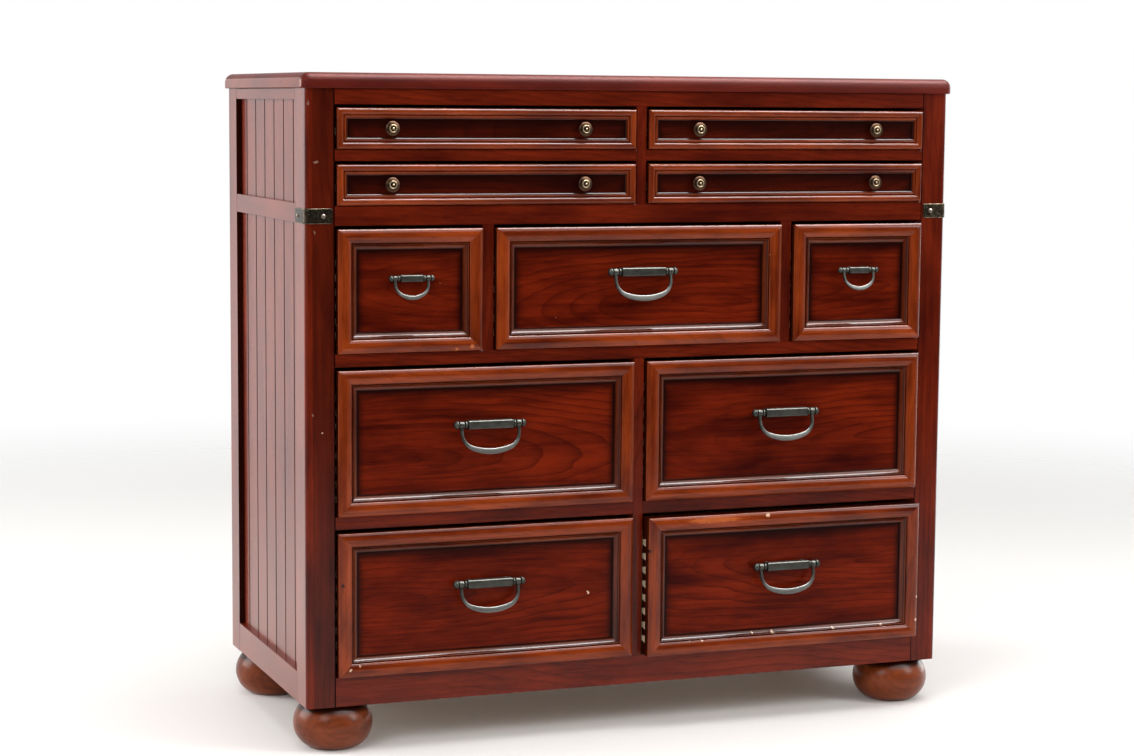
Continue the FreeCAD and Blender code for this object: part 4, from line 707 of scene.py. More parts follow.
def moulded_frame(form, moulding, low, high, face, start):
    """Four mitred lengths of moulding round a front.

    On a side of length L, the point at place q inward and share s along lies at q + s (L - 2 q), so that
    s = 0 and s = 1 are the mitres.
    """
    ease = settings("fronts").ease
    section, worn, dirt_and_shade, cove_glaze_and_shade = moulding
    ring = closed_up(eased(section, np.where(section[:, 1] > 0, ease, 0)))
    inward, height = ring.T
    # Wear on the arrises; dark glaze and painted shade in the quirk, the cove and at the panel; painted shade
    # on the outer wall, which stands in the gap beside the frame.
    rub = near(ring, worn, 0.0020) * 0.8 - near(ring, dirt_and_shade, 0.0016) - near(ring, cove_glaze_and_shade, 0.0009) * 0.6
    rub[(inward < SMALLEST) & (height < section[1, 1] + ease)] = EDGE_SHADE
    across = run_along(ring)
    stations = np.concatenate([[0], np.linspace(0.004, 0.996, 13), [1]])[:, None]
    corners = ((low[0], low[2]), (high[0], low[2]), (high[0], high[2]), (low[0], high[2]))
    ways = (X_AXIS, Z_AXIS, -X_AXIS, -Z_AXIS)
    spans = (high[0] - low[0], high[2] - low[2]) * 2
    grids = []
    for number, (corner, way, span) in enumerate(zip(corners, ways, spans)):
        along = inward + stations * (span - 2 * inward)
        inside = np.cross(-Y_AXIS, way)
        points = np.array([corner[0], face, corner[1]]) + along[..., None] * way
        points = points + inward[:, None] * inside - height[:, None] * Y_AXIS
        board = BOARD * (4 * start + number)
        grain = np.stack([along - span / 2 + board, np.broadcast_to(across, along.shape)], -1)
        grids.append((points, grain, np.broadcast_to(rub, along.shape)))
    form.shell(grids, finish=1)


def front_board(form, low, high, face, width, last, start, panel_shade):
    """Front board: a middle block, and two ends with a socket for each dovetail.

    width is the moulding's, last the least distance from a dovetail's middle to the top, and the last
    argument the painted shade all over the panel, as wear below zero.
    """
    sizes = settings("fronts")
    back = face + sizes.board
    height = high[2] - low[2]
    count = math.floor((height - last - sizes.first_tail) / sizes.tail_pitch + 1e-6) + 1
    middle = low[2] + sizes.first_tail + sizes.tail_pitch * np.arange(count)[:, None]
    root, tip = sizes.tail_root / 2, sizes.tail_tip / 2
    lap = face + sizes.lap
    tails = np.stack([
        np.broadcast_to(np.array([back, lap, lap, back]), (count, 4)),
        middle + np.array([-root, -tip, tip, root])], -1).reshape(-1, 2)
    comb = np.concatenate([
        [(face, low[2]), (back, low[2])], tails, [(back, high[2]), (face, high[2])]])
    # Each board shows another part of its rings
    middle_x = (low[0] + high[0]) / 2 + 0.08 * math.sin(5 * start)
    middle_z = (low[2] + high[2]) / 2 + 0.03 * math.sin(7 * start)
    turn = 1 if start % 2 else -1

    def grain(points):
        """Grain along X, and across it up the board and round its edges."""
        along = BOARD * start + turn * (points[..., 0] - middle_x)
        return np.stack([along, points[..., 2] - middle_z - points[..., 1] + face], -1)

    def glaze_and_shade(points):
        """Painted shade over the panel, and more at a distance d from the moulding, as exp(-d / reach);
        painted shade on the board's edges.
        """
        beside = np.minimum(points[..., 0] - low[0], high[0] - points[..., 0]) - width
        under = high[2] - points[..., 2] - width
        over = points[..., 2] - low[2] + 0.006 - width
        steps = np.minimum(np.minimum(beside / SHADE_BESIDE, under / SHADE_UNDER), over / SHADE_OVER)
        panel = (DEEP_SHADE - panel_shade) * np.exp(-np.clip(steps, 0, None)) + panel_shade
        return np.where(np.minimum(np.minimum(beside, under), over) < -0.004, EDGE_SHADE, panel)

    reach = np.minimum(0.045, 0.45 * (high - low - 2 * width))[[0, 2]]
    ramp = width + reach * np.array([0, 0.06, 0.13, 0.25, 0.45, 0.7, 1])[:, None]
    up = np.concatenate([high[2] - ramp[:, 1], (low[2] + ramp[:, 1])[::-1]])
    rest = [(face, low[2]), (back, low[2]), (back, high[2]), (face, high[2])]
    plain = np.concatenate([rest, np.stack([np.full(len(up), face), up], 1)])
    along = np.concatenate([low[0] + ramp[:, 0], (high[0] - ramp[:, 0])[::-1]])
    inner = (low[0] + sizes.side, high[0] - sizes.side)
    prism(form, plain, 0, [inner[0], *along, inner[1]], (1, 2), grain, glaze_and_shade)
    # The ends stand in the dark gap beside the frame, and carry painted shade.
    prism(form, comb, 0, (low[0], inner[0]), (1, 2), grain, EDGE_SHADE)
    prism(form, comb, 0, (inner[1], high[0]), (1, 2), grain, EDGE_SHADE)


class DRESSER_OT_fronts(bpy.types.Operator):
    """Drawer fronts: a flat-sawn board in a mitred moulding, with sockets for the dovetails"""
    bl_idname = "dresser.fronts"
    bl_label = "Drawer fronts"

    def execute(self, context):
        sizes = settings("fronts")
        for number, name in enumerate(SHALLOW + SMALL + LARGE):
            node = name + "_front"
            low, high = [np.array(corner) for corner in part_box(node)]
            face = high[1] - sizes.board
            slim = name in SHALLOW
            form = Form()
            moulding = (slim_moulding if slim else wide_moulding)(sizes)
            last = sizes.shallow_last if slim else sizes.last_tail
            # Shallow fronts get painted shade all over their panels, as if shaded by their mouldings.
            front_board(form, low, high, face, moulding[0][-1, 0], last, number, -0.45 if slim else 0.0)
            moulded_frame(form, moulding, low, high, face, number)
            form.piece(node + "_wood", [node], [lacquer("panel"), lacquer("stick")])
        return {"FINISHED"}


# Knobs, pulls and bails

def screw_head(form, place):
    """Domed screw head behind the front board at a place on the board's face."""
    sizes = settings("fittings")
    dome = arc((sizes.head_radius, 0), (0, sizes.head), -0.0008, 6)
    profile = np.concatenate([[(0, 0)], dome])
    profile[-1, 0] = 0
    behind = place + settings("fronts").board * Y_AXIS
    turned(form, profile, behind, (X_AXIS, -Z_AXIS, Y_AXIS), steps=24)


# Radii and heights of a knob in millimetres
KNOB_SIZES = dict(
    rose=7.5, rose_top=1.5, neck=4.8, rim=11, rim_foot=5.5, rim_top=8.7, rim_rise=1, lip=7.8, lip_top=10.3,
    groove_floor=9.1, ring=6.8, ring_inside=4.6, ring_edge=11.3, ring_rise=0.6, dish=10.6, boss=2.6, top=13.4,
    boss_rise=0.78, ease=0.22)


def knob_profile():
    """Radius and height round a knob from its rose to its boss, and the wear at each point."""
    k = {key: value / 1000 for key, value in KNOB_SIZES.items()}
    rim = arc((k["rim"], k["rim_foot"]), (k["rim"], k["rim_top"]), -k["rim_rise"], 8)
    ring = arc((k["ring"], k["ring_edge"]), (k["ring_inside"], k["ring_edge"]), -k["ring_rise"], 6)
    boss = arc((k["boss"], k["dish"]), (0, k["top"]), -k["boss_rise"], 8)
    stem = [
        (0, 0), (k["rose"], 0), (k["rose"], k["rose_top"]), (k["neck"], k["rose_top"]),
        (k["neck"], k["rim_foot"])]
    groove = [(k["lip"], k["lip_top"]), (k["lip"], k["groove_floor"]), (k["ring"], k["groove_floor"])]
    outline = np.concatenate([stem, rim, groove, ring, [(k["ring_inside"], k["dish"])], boss])
    outline[-1, 0] = 0
    profile = eased(outline, k["ease"], closed=False)
    crest = (k["ring"] + k["ring_inside"]) / 2
    rubbed = [
        (crest + 0.0005, k["ring_edge"] + 0.0004), (crest - 0.0005, k["ring_edge"] + 0.0004),
        (0, k["top"]), (0.0012, k["top"] - 0.0004)]
    hollow = [
        ((k["lip"] + k["ring"]) / 2, k["groove_floor"]), ((k["ring_inside"] + k["boss"]) / 2, k["dish"]),
        (k["neck"], (k["rose_top"] + k["rim_foot"]) / 2)]
    return profile, near(profile, rubbed, 0.0008) - near(profile, hollow, 0.0009)


class DRESSER_OT_knobs(bpy.types.Operator):
    """Turned knobs with a groove, a raised ring and a boss"""
    bl_idname = "dresser.knobs"
    bl_label = "Knobs"

    def execute(self, context):
        spread = settings("fittings").knob_spread
        profile, wear = knob_profile()
        brass = metal("brass", 0.34, 0.05)
        for name in SHALLOW:
            low, high = [np.array(corner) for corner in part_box(name + "_front")]
            middle = (low + high) / 2
            middle[1] = high[1] - settings("fronts").board
            form = Form()
            for side in (-1, 1):
                place = middle + side * spread * X_AXIS
                turned(form, profile, place, (X_AXIS, Z_AXIS, -Y_AXIS), wear=wear)
                screw_head(form, place)
            form.piece(name + "_turned_knobs", [name + "_knobs"], [brass])
        return {"FINISHED"}


# Sizes of the pulls and their bails in millimetres
PULL_SIZES = {
    "large": dict(
        out=11.5, flats=14.2, chamfer=1.5, barrel=38, neck=2, neck_radius=4.8, collar=3.5, collar_radius=6.6,
        pin=3, finial=8, finial_radius=7, posts=33, post_radius=4.5, flange_radius=6.5, eye=8, eye_radius=6.2,
        arm=4.6, flare=1.6, flare_drop=12, drop=49, bow=9.5, corner=31, sag=4, band=5),
    "small": dict(
        out=10, flats=10.8, chamfer=1.2, barrel=17.8, neck=1.7, neck_radius=3.3, collar=3.8, collar_radius=5,
        pin=2.4, finial=6.4, finial_radius=5.3, posts=13, post_radius=3.6, flange_radius=5.4, eye=5.8,
        eye_radius=4.8, arm=4, flare=0.8, flare_drop=9, drop=35, bow=6.8, corner=22, sag=3, band=4.2),
}
# Gaps beside a bail's eye and round its pin, in metres
EYE_GAP = 0.0015
EYE_FIT = 0.00006


def pull_sizes(name):
    """Sizes in metres of one drawer's pull, and the middle of its axis."""
    sizes = {key: value / 1000 for key, value in PULL_SIZES["small" if name in SMALL else "large"].items()}
    low, high = [np.array(corner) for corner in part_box(name + "_pull")]
    middle = (low + high) / 2
    middle[1] = high[1] - settings("fittings").head - settings("fronts").board - sizes["out"]
    return sizes, middle


def make_pull(name):
    """Square barrel with chamfered edges and turned ends, two posts and their screws."""
    s, middle = pull_sizes(name)
    form = Form()
    half = s["flats"] / 2
    flat = half - s["chamfer"]
    corners = np.array([
        (half, -flat), (half, flat), (flat, half), (-flat, half),
        (-half, flat), (-half, -flat), (-flat, -half), (flat, -half)])
    facets = eased(corners, 0.0007)
    edges = near(facets, corners, 0.0009) * 0.6

    def grain(points):
        """Plain coordinates along and round the barrel."""
        return np.stack([points[..., 0], points[..., 2]], -1)

    ends = (middle[0] - s["barrel"], middle[0] + s["barrel"])
    prism(form, facets + middle[1:], 0, ends, (1, 2), grain, edges)
    collar = s["barrel"] + s["neck"]
    outer = collar + s["collar"]
    finial = outer + 2 * EYE_GAP + s["eye"]
    arris = 0.0003
    round_over = 0.0011
    rim_edge = s["collar_radius"] - round_over
    rim = arc((rim_edge, collar), (rim_edge, outer), -round_over, 8)
    sunk = s["barrel"] - s["neck"]
    knuckle = np.concatenate([
        [(0, sunk), (s["neck_radius"], sunk), (s["neck_radius"], collar)], rim,
        [(s["pin"], outer), (s["pin"], finial), (0, finial)]])
    knuckle = eased(knuckle, arris, closed=False)
    hollow = [(s["neck_radius"], s["barrel"] + s["neck"] / 2)]
    worn = 0.35 * near(knuckle, rim, 0.0008) - near(knuckle, hollow, 0.002)
    edge = s["finial_radius"] - round_over
    shoulder = finial + s["collar"]
    rise = 0.18 * math.hypot(edge, s["finial"] - s["collar"])
    button = np.concatenate([
        [(0, finial)], arc((edge, finial), (edge, shoulder), -round_over, 8),
        arc((edge, shoulder), (0, finial + s["finial"]), -rise, 8)[1:]])
    button[-1, 0] = 0
    button = eased(button, arris, closed=False)
    foot = s["out"] - 0.0015
    post = eased([
        (0, half * 0.6), (s["post_radius"], half * 0.6), (s["post_radius"], foot),
        (s["flange_radius"], foot), (s["flange_radius"], s["out"]), (0, s["out"])], 0.0004, closed=False)
    for side in (-1, 1):
        axes = (Y_AXIS, side * Z_AXIS, side * X_AXIS)
        turned(form, knuckle, middle, axes, wear=worn, steps=40)
        turned(form, button, middle, axes, wear=0.2, steps=40)
        place = middle + side * s["posts"] * X_AXIS
        turned(form, post, place, (X_AXIS, -Z_AXIS, Y_AXIS), wear=-0.3, steps=32)
        screw_head(form, place + s["out"] * Y_AXIS)
    form.piece(name + "_cast_pull", [name + "_pull"], [metal("pewter", 0.42)], 28)


def bail_edge(half, corner, sag, drop, flare, flare_drop, depth):
    """Right half of one edge of a bail, from its eye to the middle of its bow.

    A widening arc at the eye, a straight arm, a corner of the given radius, and a bow that touches the
    corner on the line through the two centres.
    """
    bend = (flare ** 2 + flare_drop ** 2) / (2 * abs(flare))
    z = np.linspace(0, -flare_drop, 9)
    widening = bend - np.sqrt(bend ** 2 - (flare_drop + z) ** 2)
    top = np.stack([half + math.copysign(1, flare) * widening, z], 1)
    arm = np.stack([np.full(3, half), np.linspace(-flare_drop, -depth, 4)[1:]], 1)
    centre = half - corner
    radius = (centre ** 2 + sag ** 2 + 2 * sag * corner) / (2 * sag)
    height = radius - drop
    lean = math.atan2(centre, height + depth)
    sweep = np.linspace(0, math.pi / 2 - lean, 15)[1:]
    bend_points = np.stack([centre + corner * np.cos(sweep), -depth - corner * np.sin(sweep)], 1)
    sweep = np.linspace(lean, 0, 13)[1:]
    bow = np.stack([radius * np.sin(sweep), height - radius * np.cos(sweep)], 1)
    return np.concatenate([top, arm, bend_points, bow])


def make_bail(name):
    """Bail: a band between two edge lines with a rounded section, and an eye on each end."""
    s, middle = pull_sizes(name)
    lean = settings("fittings").lean
    form = Form()
    eye = s["barrel"] + s["neck"] + s["collar"] + EYE_GAP
    half = eye + s["eye"] / 2 + s["arm"] / 2
    depth = s["drop"] - s["corner"] - s["sag"]
    outside = bail_edge(half, s["corner"], s["sag"], s["drop"], s["flare"], s["flare_drop"], depth)
    inside = bail_edge(
        half - s["arm"], s["corner"] - s["bow"], s["sag"], s["drop"] - s["bow"], -s["flare"],
        s["flare_drop"], depth)
    mirrored = np.array([-1, 1])
    outside, inside = [np.concatenate([line, line[-2::-1] * mirrored]) for line in (outside, inside)]
    centre = (outside + inside) / 2
    reach = (outside - inside) / 2
    angle = np.linspace(0, 2 * math.pi, 33)
    angle[-1] = 0
    across = np.sign(np.cos(angle)) * np.abs(np.cos(angle)) ** 0.5
    through = np.sign(np.sin(angle)) * np.abs(np.sin(angle)) ** 0.5
    flat = centre[:, None] + reach[:, None] * across[:, None]
    points = np.stack([
        flat[..., 0], np.broadcast_to(through * s["band"] / 2, flat.shape[:2]), flat[..., 1]], -1)

    def hang(local):
        """Lean the bail about its axis and carry it to its place."""
        turn = np.array(Matrix.Rotation(-lean, 3, "X"))
        return local @ turn.T + middle

    # The bow's lower part is rubbed bright where it is gripped, and this also paints the highlight that light
    # from above leaves on its face.
    low_part = np.clip(-centre[:, 1] / s["drop"] * 1.6 - 0.5, 0, 1)[:, None]
    worn = 0.10 + 1.15 * low_part + 0.15 * np.abs(np.sin(2 * angle)) ** 3
    grain = np.stack(np.broadcast_arrays(run_along(centre)[:, None], angle[None] * 0.003), -1)
    ends = [(hang(points[i, :-1]), grain[i, :-1], 0.0) for i in (0, -1)]
    form.shell([(hang(points), grain, worn)], ends)
    bore = s["pin"] + EYE_FIT
    end = eye + s["eye"]
    loop = eased([(bore, eye), (s["eye_radius"], eye), (s["eye_radius"], end), (bore, end)], 0.0009)
    for side in (-1, 1):
        axes = (Y_AXIS, side * Z_AXIS, side * X_AXIS)
        turned(form, closed_up(loop), middle, axes, wear=0.2, steps=48)
    form.piece(name + "_cast_bail", [name + "_bail"], [metal("pewter", 0.42)], 40)


class DRESSER_OT_pulls(bpy.types.Operator):
    """Cast pulls with a chamfered square barrel between turned ends"""
    bl_idname = "dresser.pulls"
    bl_label = "Pulls"

    def execute(self, context):
        for name in LARGE + SMALL:
            make_pull(name)
        return {"FINISHED"}


class DRESSER_OT_bails(bpy.types.Operator):
    """Swinging bails with a flat bow"""
    bl_idname = "dresser.bails"
    bl_label = "Bails"

    def execute(self, context):
        for name in LARGE + SMALL:
            make_bail(name)
        return {"FINISHED"}


# Case

class DRESSER_OT_top(bpy.types.Operator):
    """Top with a large rounding on its upper edge and rounded front corners"""
    bl_idname = "dresser.top"
    bl_label = "Top"

    def execute(self, context):
        sizes = settings("case")
        low, high = [np.array(corner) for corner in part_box("top_panel")]
        under = arc((sizes.top_under, 0), (0, sizes.top_under), QUARTER_RISE * sizes.top_under, 6)
        thick = high[2] - low[2]
        start = thick - sizes.top_round
        over = arc((0, start), (sizes.top_round, thick), QUARTER_RISE * sizes.top_round, 14)
        edge = np.concatenate([under, over])
        inset, rise = edge[:, 0, None], edge[:, 1, None]
        angle = np.linspace(0, math.pi / 2, 11)
        left, right, front = low[0], high[0], low[1]
        radius = sizes.top_corner
        bend = np.maximum(radius - inset, 0.0005)
        left_x = left + radius - np.cos(angle) * bend
        left_y = front + radius - np.sin(angle) * bend
        right_x = right - radius + np.cos(angle[::-1]) * bend
        right_y = front + radius - np.sin(angle[::-1]) * bend
        side_y = np.broadcast_to(high[1], inset.shape)
        x = np.concatenate([left + inset, left_x, right_x, right - inset, left + inset], 1)
        y = np.concatenate([side_y, left_y, right_y, side_y, side_y], 1)
        z = np.broadcast_to(low[2] + rise, x.shape)
        points = np.stack([x, y, z], -1)
        rub = near(edge, [(0, start)], 0.004) * 0.4

        def grain(places):
            """Grain along X, and across it over the edge."""
            return np.stack([places[..., 0] - BOARD, places[..., 1] + places[..., 2] + 0.11], -1)

        form = Form()
        caps = [(points[i, :-1], grain(points[i, :-1]), 0.0) for i in (0, -1)]
        form.shell([(points, grain(points), np.broadcast_to(rub[:, None], x.shape))], caps)
        made = form.piece("top_board", ["top_panel"], [lacquer("top")], 40)
        finish_sides(made, lacquer("side"), 0.9)
        return {"FINISHED"}


class DRESSER_OT_posts(bpy.types.Operator):
    """Front posts with a rounded outer edge"""
    bl_idname = "dresser.posts"
    bl_label = "Front posts"

    def execute(self, context):
        sizes = settings("case")
        for number, node in enumerate(("left_front_post", "right_front_post")):
            low, high = [np.array(corner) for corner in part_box(node)]
            outer, inner = (low[0], high[0]) if number == 0 else (high[0], low[0])
            side = math.copysign(1, inner - outer)
            rounding = sizes.post_round
            corner = arc((0, rounding), (rounding, 0), -QUARTER_RISE * rounding, 12)
            width = abs(inner - outer)
            ease = sizes.post_ease
            deep = high[1] - low[1]
            arris = [(width - ease, 0), (width, ease)]
            outline = np.concatenate([
                corner, [(rounding + 0.003, 0), (width - ease - 0.002, 0)], arris,
                [(width, ease + 0.003), (width, deep), (0, deep), (0, rounding + 0.003)]])
            rub = near(outline, corner, 0.001) * 0.2 - near(outline, arris, 0.0007)
            rub -= 0.45 * (number == 0) * (outline[:, 0] > rounding)
            placed = np.stack([outer + side * outline[:, 0], low[1] + outline[:, 1]], 1)

            def grain(points, shift=-BOARD * (number + 2), outer=outer, front=low[1]):
                """Grain along Z, and across it round the post."""
                across = points[..., 0] - outer - points[..., 1] + front + 0.08
                return np.stack([points[..., 2] - 0.6 + shift, across], -1)

            form = Form()
            prism(form, placed, 2, (low[2], high[2]), (0, 1), grain, rub)
            made = form.piece(node + "_wood", [node], [lacquer("frame")], 25)
            finish_sides(made, lacquer("post"), 0.97)
        return {"FINISHED"}


class DRESSER_OT_feet(bpy.types.Operator):
    """Turned bun feet"""
    bl_idname = "dresser.feet"
    bl_label = "Bun feet"

    def execute(self, context):
        sizes = settings("case")
        low, high = [np.array(corner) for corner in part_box("feet")]
        height = high[2] - low[2]
        radius = sizes.foot_radius

        def quarter(start, end):
            """Arc that is upright at the foot's largest radius."""
            run, rise = radius - min(start[0], end[0]), abs(end[1] - start[1])
            bend = (run ** 2 + rise ** 2) / (2 * run)
            chord = math.hypot(run, rise)
            return arc(start, end, -(bend - math.sqrt(bend ** 2 - (chord / 2) ** 2)), 20)

        lower = quarter((sizes.foot_base, 0), (radius, sizes.foot_waist))
        upper = quarter((radius, sizes.foot_waist), (sizes.foot_top, height))
        profile = eased(np.concatenate([[(0, 0)], lower, upper[1:], [(0, height)]]), 0.0012, closed=False)
        share = np.clip((profile[:, 1] - sizes.foot_waist) / (height - sizes.foot_waist), 0, 1)
        # Painted shade on the upper part of each foot, under the case: darker towards the top, and with less
        # lacquer near the top
        dark = -0.3 * share - 0.7 * np.clip((share - 0.55) / 0.3, 0, 1)
        form = Form()
        across = (low[0] + radius, high[0] - radius)
        places = [np.array([x, y, low[2]]) for y in (low[1] + radius, high[1] - radius) for x in across]
        for number, place in enumerate(places):
            turned(form, profile, place, (X_AXIS, Y_AXIS, Z_AXIS), 0.21 * number, dark, 72)
        form.piece("bun_feet", ["feet"], [lacquer("foot", "x")], 40)
        return {"FINISHED"}


class DRESSER_OT_straps(bpy.types.Operator):
    """Hammered metal straps round the front posts, and their screws"""
    bl_idname = "dresser.straps"
    bl_label = "Corner straps"

    def execute(self, context):
        sizes = settings("case")
        low, high = [np.array(corner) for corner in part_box("corner_straps")]
        thick = sizes.strap
        bend = sizes.strap_bend + thick
        deep = high[1] - low[1]
        front = np.stack([np.linspace(sizes.strap_front + thick, bend, 19)[:-1], np.zeros(18)], 1)
        round_corner = arc((bend, 0), (0, bend), QUARTER_RISE * bend, 12)
        side = np.stack([np.zeros(22), np.linspace(bend, deep, 23)[1:]], 1)
        path = np.concatenate([front, round_corner, side])
        ways = np.gradient(path, axis=0)
        ways /= np.linalg.norm(ways, axis=1)[:, None]
        inside = np.stack([ways[:, 1], -ways[:, 0]], 1)
        within = np.array([0.03, 0.03])
        inside *= np.sign((inside * (within - path)).sum(1))[:, None]
        half = (high[2] - low[2]) / 2
        face = np.stack([np.zeros(17), np.linspace(-half, half, 17)], 1)
        section = closed_up(eased(np.concatenate([face, [(thick, half), (thick, -half)]]), 0.0005))
        distance = run_along(path)
        seeds = np.random.default_rng(5)
        marks = seeds.uniform((0, -half), (distance[-1], half), (110, 2))
        spread = np.stack(np.broadcast_arrays(distance[:, None], section[:, 1]), -1)
        gap = np.linalg.norm(spread[:, :, None] - marks, axis=3) / sizes.dent_radius
        dents = np.clip(1 - gap ** 2, 0, None).max(2) * sizes.dent * (section[:, 0] < 0.0006)
        depth = section[:, 0] + dents
        rub = near(section, [(0, -half), (0, half)], 0.0016) * 0.9 - dents / sizes.dent * 0.35
        form = Form()
        for sign in (1, -1):
            corner = np.array([low[0] if sign > 0 else high[0], low[1], (low[2] + high[2]) / 2])
            level = path[:, None] + inside[:, None] * depth[..., None]
            points = np.stack([
                corner[0] + sign * level[..., 0], corner[1] + level[..., 1],
                corner[2] + np.broadcast_to(section[:, 1], dents.shape)], -1)
            ends = [(points[i, :-1], spread[i, :-1], 0.5) for i in (0, -1)]
            form.shell([(points, spread, rub)], ends)
        bronze = metal("bronze", 0.36, 0.6, 0.55)
        form.piece("hammered_straps", ["corner_straps"], [bronze], 30)
        dress(["strap_screws"], metal("screw_bronze", 0.30))
        return {"FINISHED"}


class DRESSER_OT_case(bpy.types.Operator):
    """Lacquer on the rails, panels, dividers and rear posts, with painted shade in the side panels' grooves
    and beside the rear posts
    """
    bl_idname = "dresser.case"
    bl_label = "Case"

    def execute(self, context):
        sizes = settings("case")
        dress(["front_rails", "short_rails"], lacquer("frame", "x"))
        dress(["drawer_dividers"], lacquer("frame", "z"))
        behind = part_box("left_front_post")[1][1]
        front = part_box("left_rear_post")[0][1]
        dress(["side_rails"], lacquer("side", "y", (behind, front - behind, sizes.joint_half)))
        # Painted shade on the rear posts' faces that look forward, beside the side panels
        post_front_shade = (front + 0.0016, front + 0.0004)
        dress(["left_rear_post", "right_rear_post"], lacquer("side", "z", None, post_front_shade))
        # Painted shade in the side panels' grooves
        grooves = (sizes.groove_place, sizes.groove_pitch, sizes.groove_shade_half)
        # Painted shade on the side panels' rear part, beside the rear posts
        stile_shade = (0.200, 0.212)
        dress(["side_panels"], lacquer("side", "z", grooves, stile_shade))
        return {"FINISHED"}


class DRESSER_OT_inside(bpy.types.Operator):
    """Plain wood of the drawer boxes, the runners and the back, and the foot bolts"""
    bl_idname = "dresser.inside"
    bl_label = "Inside"

    def execute(self, context):
        dress([name + "_box" for name in SHALLOW + SMALL + LARGE], plain_wood("pale", "y"))
        dress(["drawer_runners", "drawer_guides"], plain_wood("inner", "y"))
        dress(["web_rails", "dust_panels", "corner_blocks"], plain_wood("inner", "x"))
        dress(["back_panel"], plain_wood("back", "z"))
        dress(["foot_bolts"], metal("zinc", 0.35))
        return {"FINISHED"}


# Stage

# Lamps: name, place, target, width and depth, power, and the rays that don't see them
LAMPS = (
    ("overhead", (0.1, -0.45, 3.2), (0, -0.1, 0), (2.6, 1.2), 55, None),
    ("ceiling", (1.1, -0.5, 3.3), (1.1, -0.4, 0), (3.4, 1.4), 440, "diffuse"),
    ("front_ceiling", (1.1, -2.2, 3.3), (1.1, -2.1, 0), (3.4, 2.0), 85, "diffuse"),
    ("right_wall", (3.2, 0.9, 0.9), (0, 0.9, 0.9), (1.6, 2.2), 50, "diffuse"),
    ("left", (-2.7, -2.4, 2.3), (0, 0, 0.5), (1.4, 1.4), 38, None),
    ("right", (2.6, -2.4, 2.1), (0, 0, 0.5), (1.2, 1.6), 58, None),
    ("front", (-2.7, -4.8, 1.4), (0, 0, 0.3), (3.0, 2.4), 42, "glossy"),
    ("window", (-3.2, 1.4, 1.6), (-0.5, 0, 0.6), (2.0, 2.0), 85, None),
)


def lamp(name, place, target, size, power, left_out):
    """Soft rectangular lamp that faces a target."""
    light = bpy.data.lights.new(name, "AREA")
    light.shape = "RECTANGLE"
    light.size, light.size_y = size
    light.energy = power
    made = bpy.data.objects.new(name, light)
    made.location = place
    made.rotation_euler = (Vector(target) - Vector(place)).to_track_quat("-Z", "Y").to_euler()
    made.visible_diffuse = left_out != "diffuse"
    made.visible_glossy = left_out != "glossy"
    bpy.context.scene.collection.objects.link(made)


def make_floor(stage):
    """Round pale floor: points at (r cos a, r sin a), which thins out to the white behind it."""
    sectors = 64
    radius = np.linspace(0, 7, 15)[:, None]
    angle = np.linspace(0, 2 * math.pi, sectors + 1)[None]
    points = np.stack(np.broadcast_arrays(radius * np.cos(angle), radius * np.sin(angle), 0.0), -1)
    number = np.arange(points[..., 0].size).reshape(points.shape[:2])
    faces = np.stack([number[:-1, :-1], number[1:, :-1], number[1:, 1:], number[:-1, 1:]], -1).reshape(-1, 4)
    middle = number[1, :-1].tolist()
    mesh = bpy.data.meshes.new("floor")
    mesh.from_pydata(points.reshape(-1, 3).tolist(), [], [*faces[sectors:].tolist(), middle])
    material, tree, shader = new_finish("floor")
    shader.inputs["Base Color"].default_value = (*stage.floor, 1)
    shader.inputs["Roughness"].default_value = 0.6
    place = put(tree, "TexCoord").outputs["Object"]
    away = put(tree, "VectorMath", {0: place}, operation="LENGTH").outputs["Value"]
    clear = put(tree, "BsdfTransparent")
    mixed = put(tree, "MixShader", {0: fade(tree, away, 1.6, 4.2), 1: shader.outputs[0], 2: clear.outputs[0]})
    output = next(node for node in tree.nodes if node.bl_idname == "ShaderNodeOutputMaterial")
    tree.links.new(mixed.outputs[0], output.inputs[0])
    mesh.materials.append(material)
    floor = bpy.data.objects.new("floor", mesh)
    bpy.context.scene.collection.objects.link(floor)


def make_world():
    """Soft light from all round; the camera and reflections see white, except from the dim room in front."""
    world = bpy.data.worlds.new("studio")
    bpy.context.scene.world = world
    world.use_nodes = True
    tree = world.node_tree
    tree.nodes.clear()
    path = put(tree, "LightPath").outputs
    way = put(tree, "SeparateXYZ", {0: put(tree, "TexCoord").outputs["Generated"]}).outputs
    behind = fade(tree, way[1], -0.80, -0.05)
    white = put(tree, "Background", {"Color": (1, 1, 1, 1), "Strength": 1.0})
    dim = maths(tree, "ADD", maths(tree, "MULTIPLY", behind, 0.97), 0.03)
    mirrored = put(tree, "Background", {"Color": (1, 1, 1, 1), "Strength": dim})
    soft = put(tree, "Background", {"Color": (1, 1, 1, 1), "Strength": 0.46})
    shiny = maths(tree, "MAXIMUM", path["Is Glossy Ray"], path["Is Transmission Ray"])
    seen = put(tree, "MixShader", {0: shiny, 1: soft.outputs[0], 2: mirrored.outputs[0]})
    all_seen = put(tree, "MixShader", {0: path["Is Camera Ray"], 1: seen.outputs[0], 2: white.outputs[0]})
    output = put(tree, "OutputWorld")
    tree.links.new(all_seen.outputs[0], output.inputs[0])


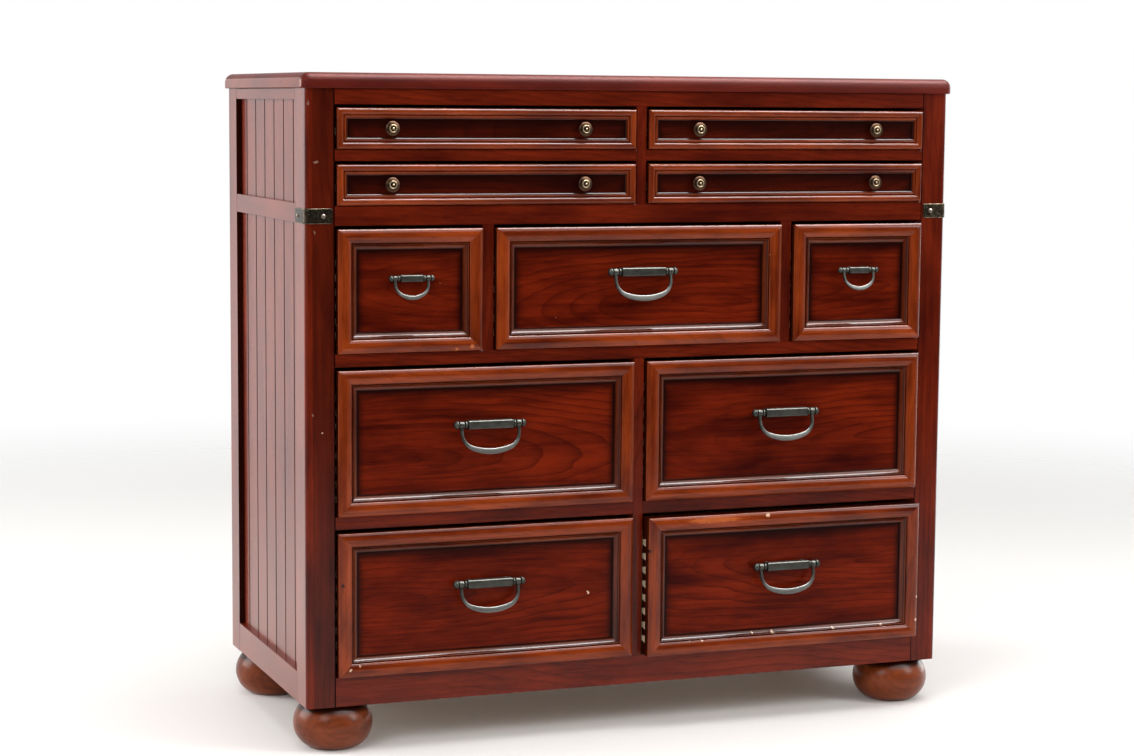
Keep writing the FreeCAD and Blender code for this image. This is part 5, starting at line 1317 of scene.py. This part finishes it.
def make_camera(stage):
    """Camera at the eye's place, turned by yaw, pitch and roll."""
    yaw, pitch, roll = stage.yaw, stage.pitch, stage.roll
    ahead = Vector((math.sin(yaw) * math.cos(pitch), math.cos(yaw) * math.cos(pitch), -math.sin(pitch)))
    level = Vector((math.cos(yaw), -math.sin(yaw), 0))
    upward = level.cross(ahead)
    right = math.cos(roll) * level + math.sin(roll) * upward
    upward = right.cross(ahead)
    data = bpy.data.cameras.new("camera")
    data.sensor_fit = "HORIZONTAL"
    data.sensor_width = 36
    data.lens = stage.lens
    made = bpy.data.objects.new("camera", data)
    made.matrix_world = Matrix.Translation(stage.eye) @ Matrix((right, upward, -ahead)).transposed().to_4x4()
    bpy.context.scene.collection.objects.link(made)
    bpy.context.scene.camera = made


class DRESSER_OT_stage(bpy.types.Operator):
    """Pale floor, soft lamps and the camera"""
    bl_idname = "dresser.stage"
    bl_label = "Stage"

    def execute(self, context):
        stage = settings("stage")
        make_floor(stage)
        make_world()
        for row in LAMPS:
            lamp(*row)
        make_camera(stage)
        context.scene.view_settings.view_transform = "Standard"
        return {"FINISHED"}


# Add-on

SETTINGS = {
    "fronts": DresserFronts, "case": DresserCase, "fittings": DresserFittings,
    "colours": DresserColours, "stage": DresserStage,
}
OPERATORS = (
    DRESSER_OT_fronts, DRESSER_OT_knobs, DRESSER_OT_pulls, DRESSER_OT_bails, DRESSER_OT_top, DRESSER_OT_posts,
    DRESSER_OT_feet, DRESSER_OT_straps, DRESSER_OT_case, DRESSER_OT_inside, DRESSER_OT_stage,
)


class DRESSER_PT_pieces(bpy.types.Panel):
    """Buttons for the dresser's pieces, and their settings"""
    bl_idname = "DRESSER_PT_pieces"
    bl_label = "Dresser"
    bl_space_type = "VIEW_3D"
    bl_region_type = "UI"
    bl_category = "Dresser"

    def draw(self, context):
        for operator in OPERATORS:
            self.layout.operator(operator.bl_idname)
        for name, group in SETTINGS.items():
            column = self.layout.column(align=True)
            for key in group.__annotations__:
                column.prop(settings(name), key)


CLASSES = (*SETTINGS.values(), *OPERATORS, DRESSER_PT_pieces)


def register():
    """Register the classes and put the settings on the scene."""
    for item in CLASSES:
        bpy.utils.register_class(item)
    for name, group in SETTINGS.items():
        setattr(bpy.types.Scene, "dresser_" + name, PointerProperty(type=group))


def unregister():
    """Take the settings and the classes away again."""
    for name in SETTINGS:
        delattr(bpy.types.Scene, "dresser_" + name)
    for item in reversed(CLASSES):
        bpy.utils.unregister_class(item)


def main():
    """Build every piece and the stage."""
    register()
    bpy.ops.dresser.fronts()
    bpy.ops.dresser.knobs()
    bpy.ops.dresser.pulls()
    bpy.ops.dresser.bails()
    bpy.ops.dresser.top()
    bpy.ops.dresser.posts()
    bpy.ops.dresser.feet()
    bpy.ops.dresser.straps()
    bpy.ops.dresser.case()
    bpy.ops.dresser.inside()
    bpy.ops.dresser.stage()


if __name__ == "__main__":
    main()
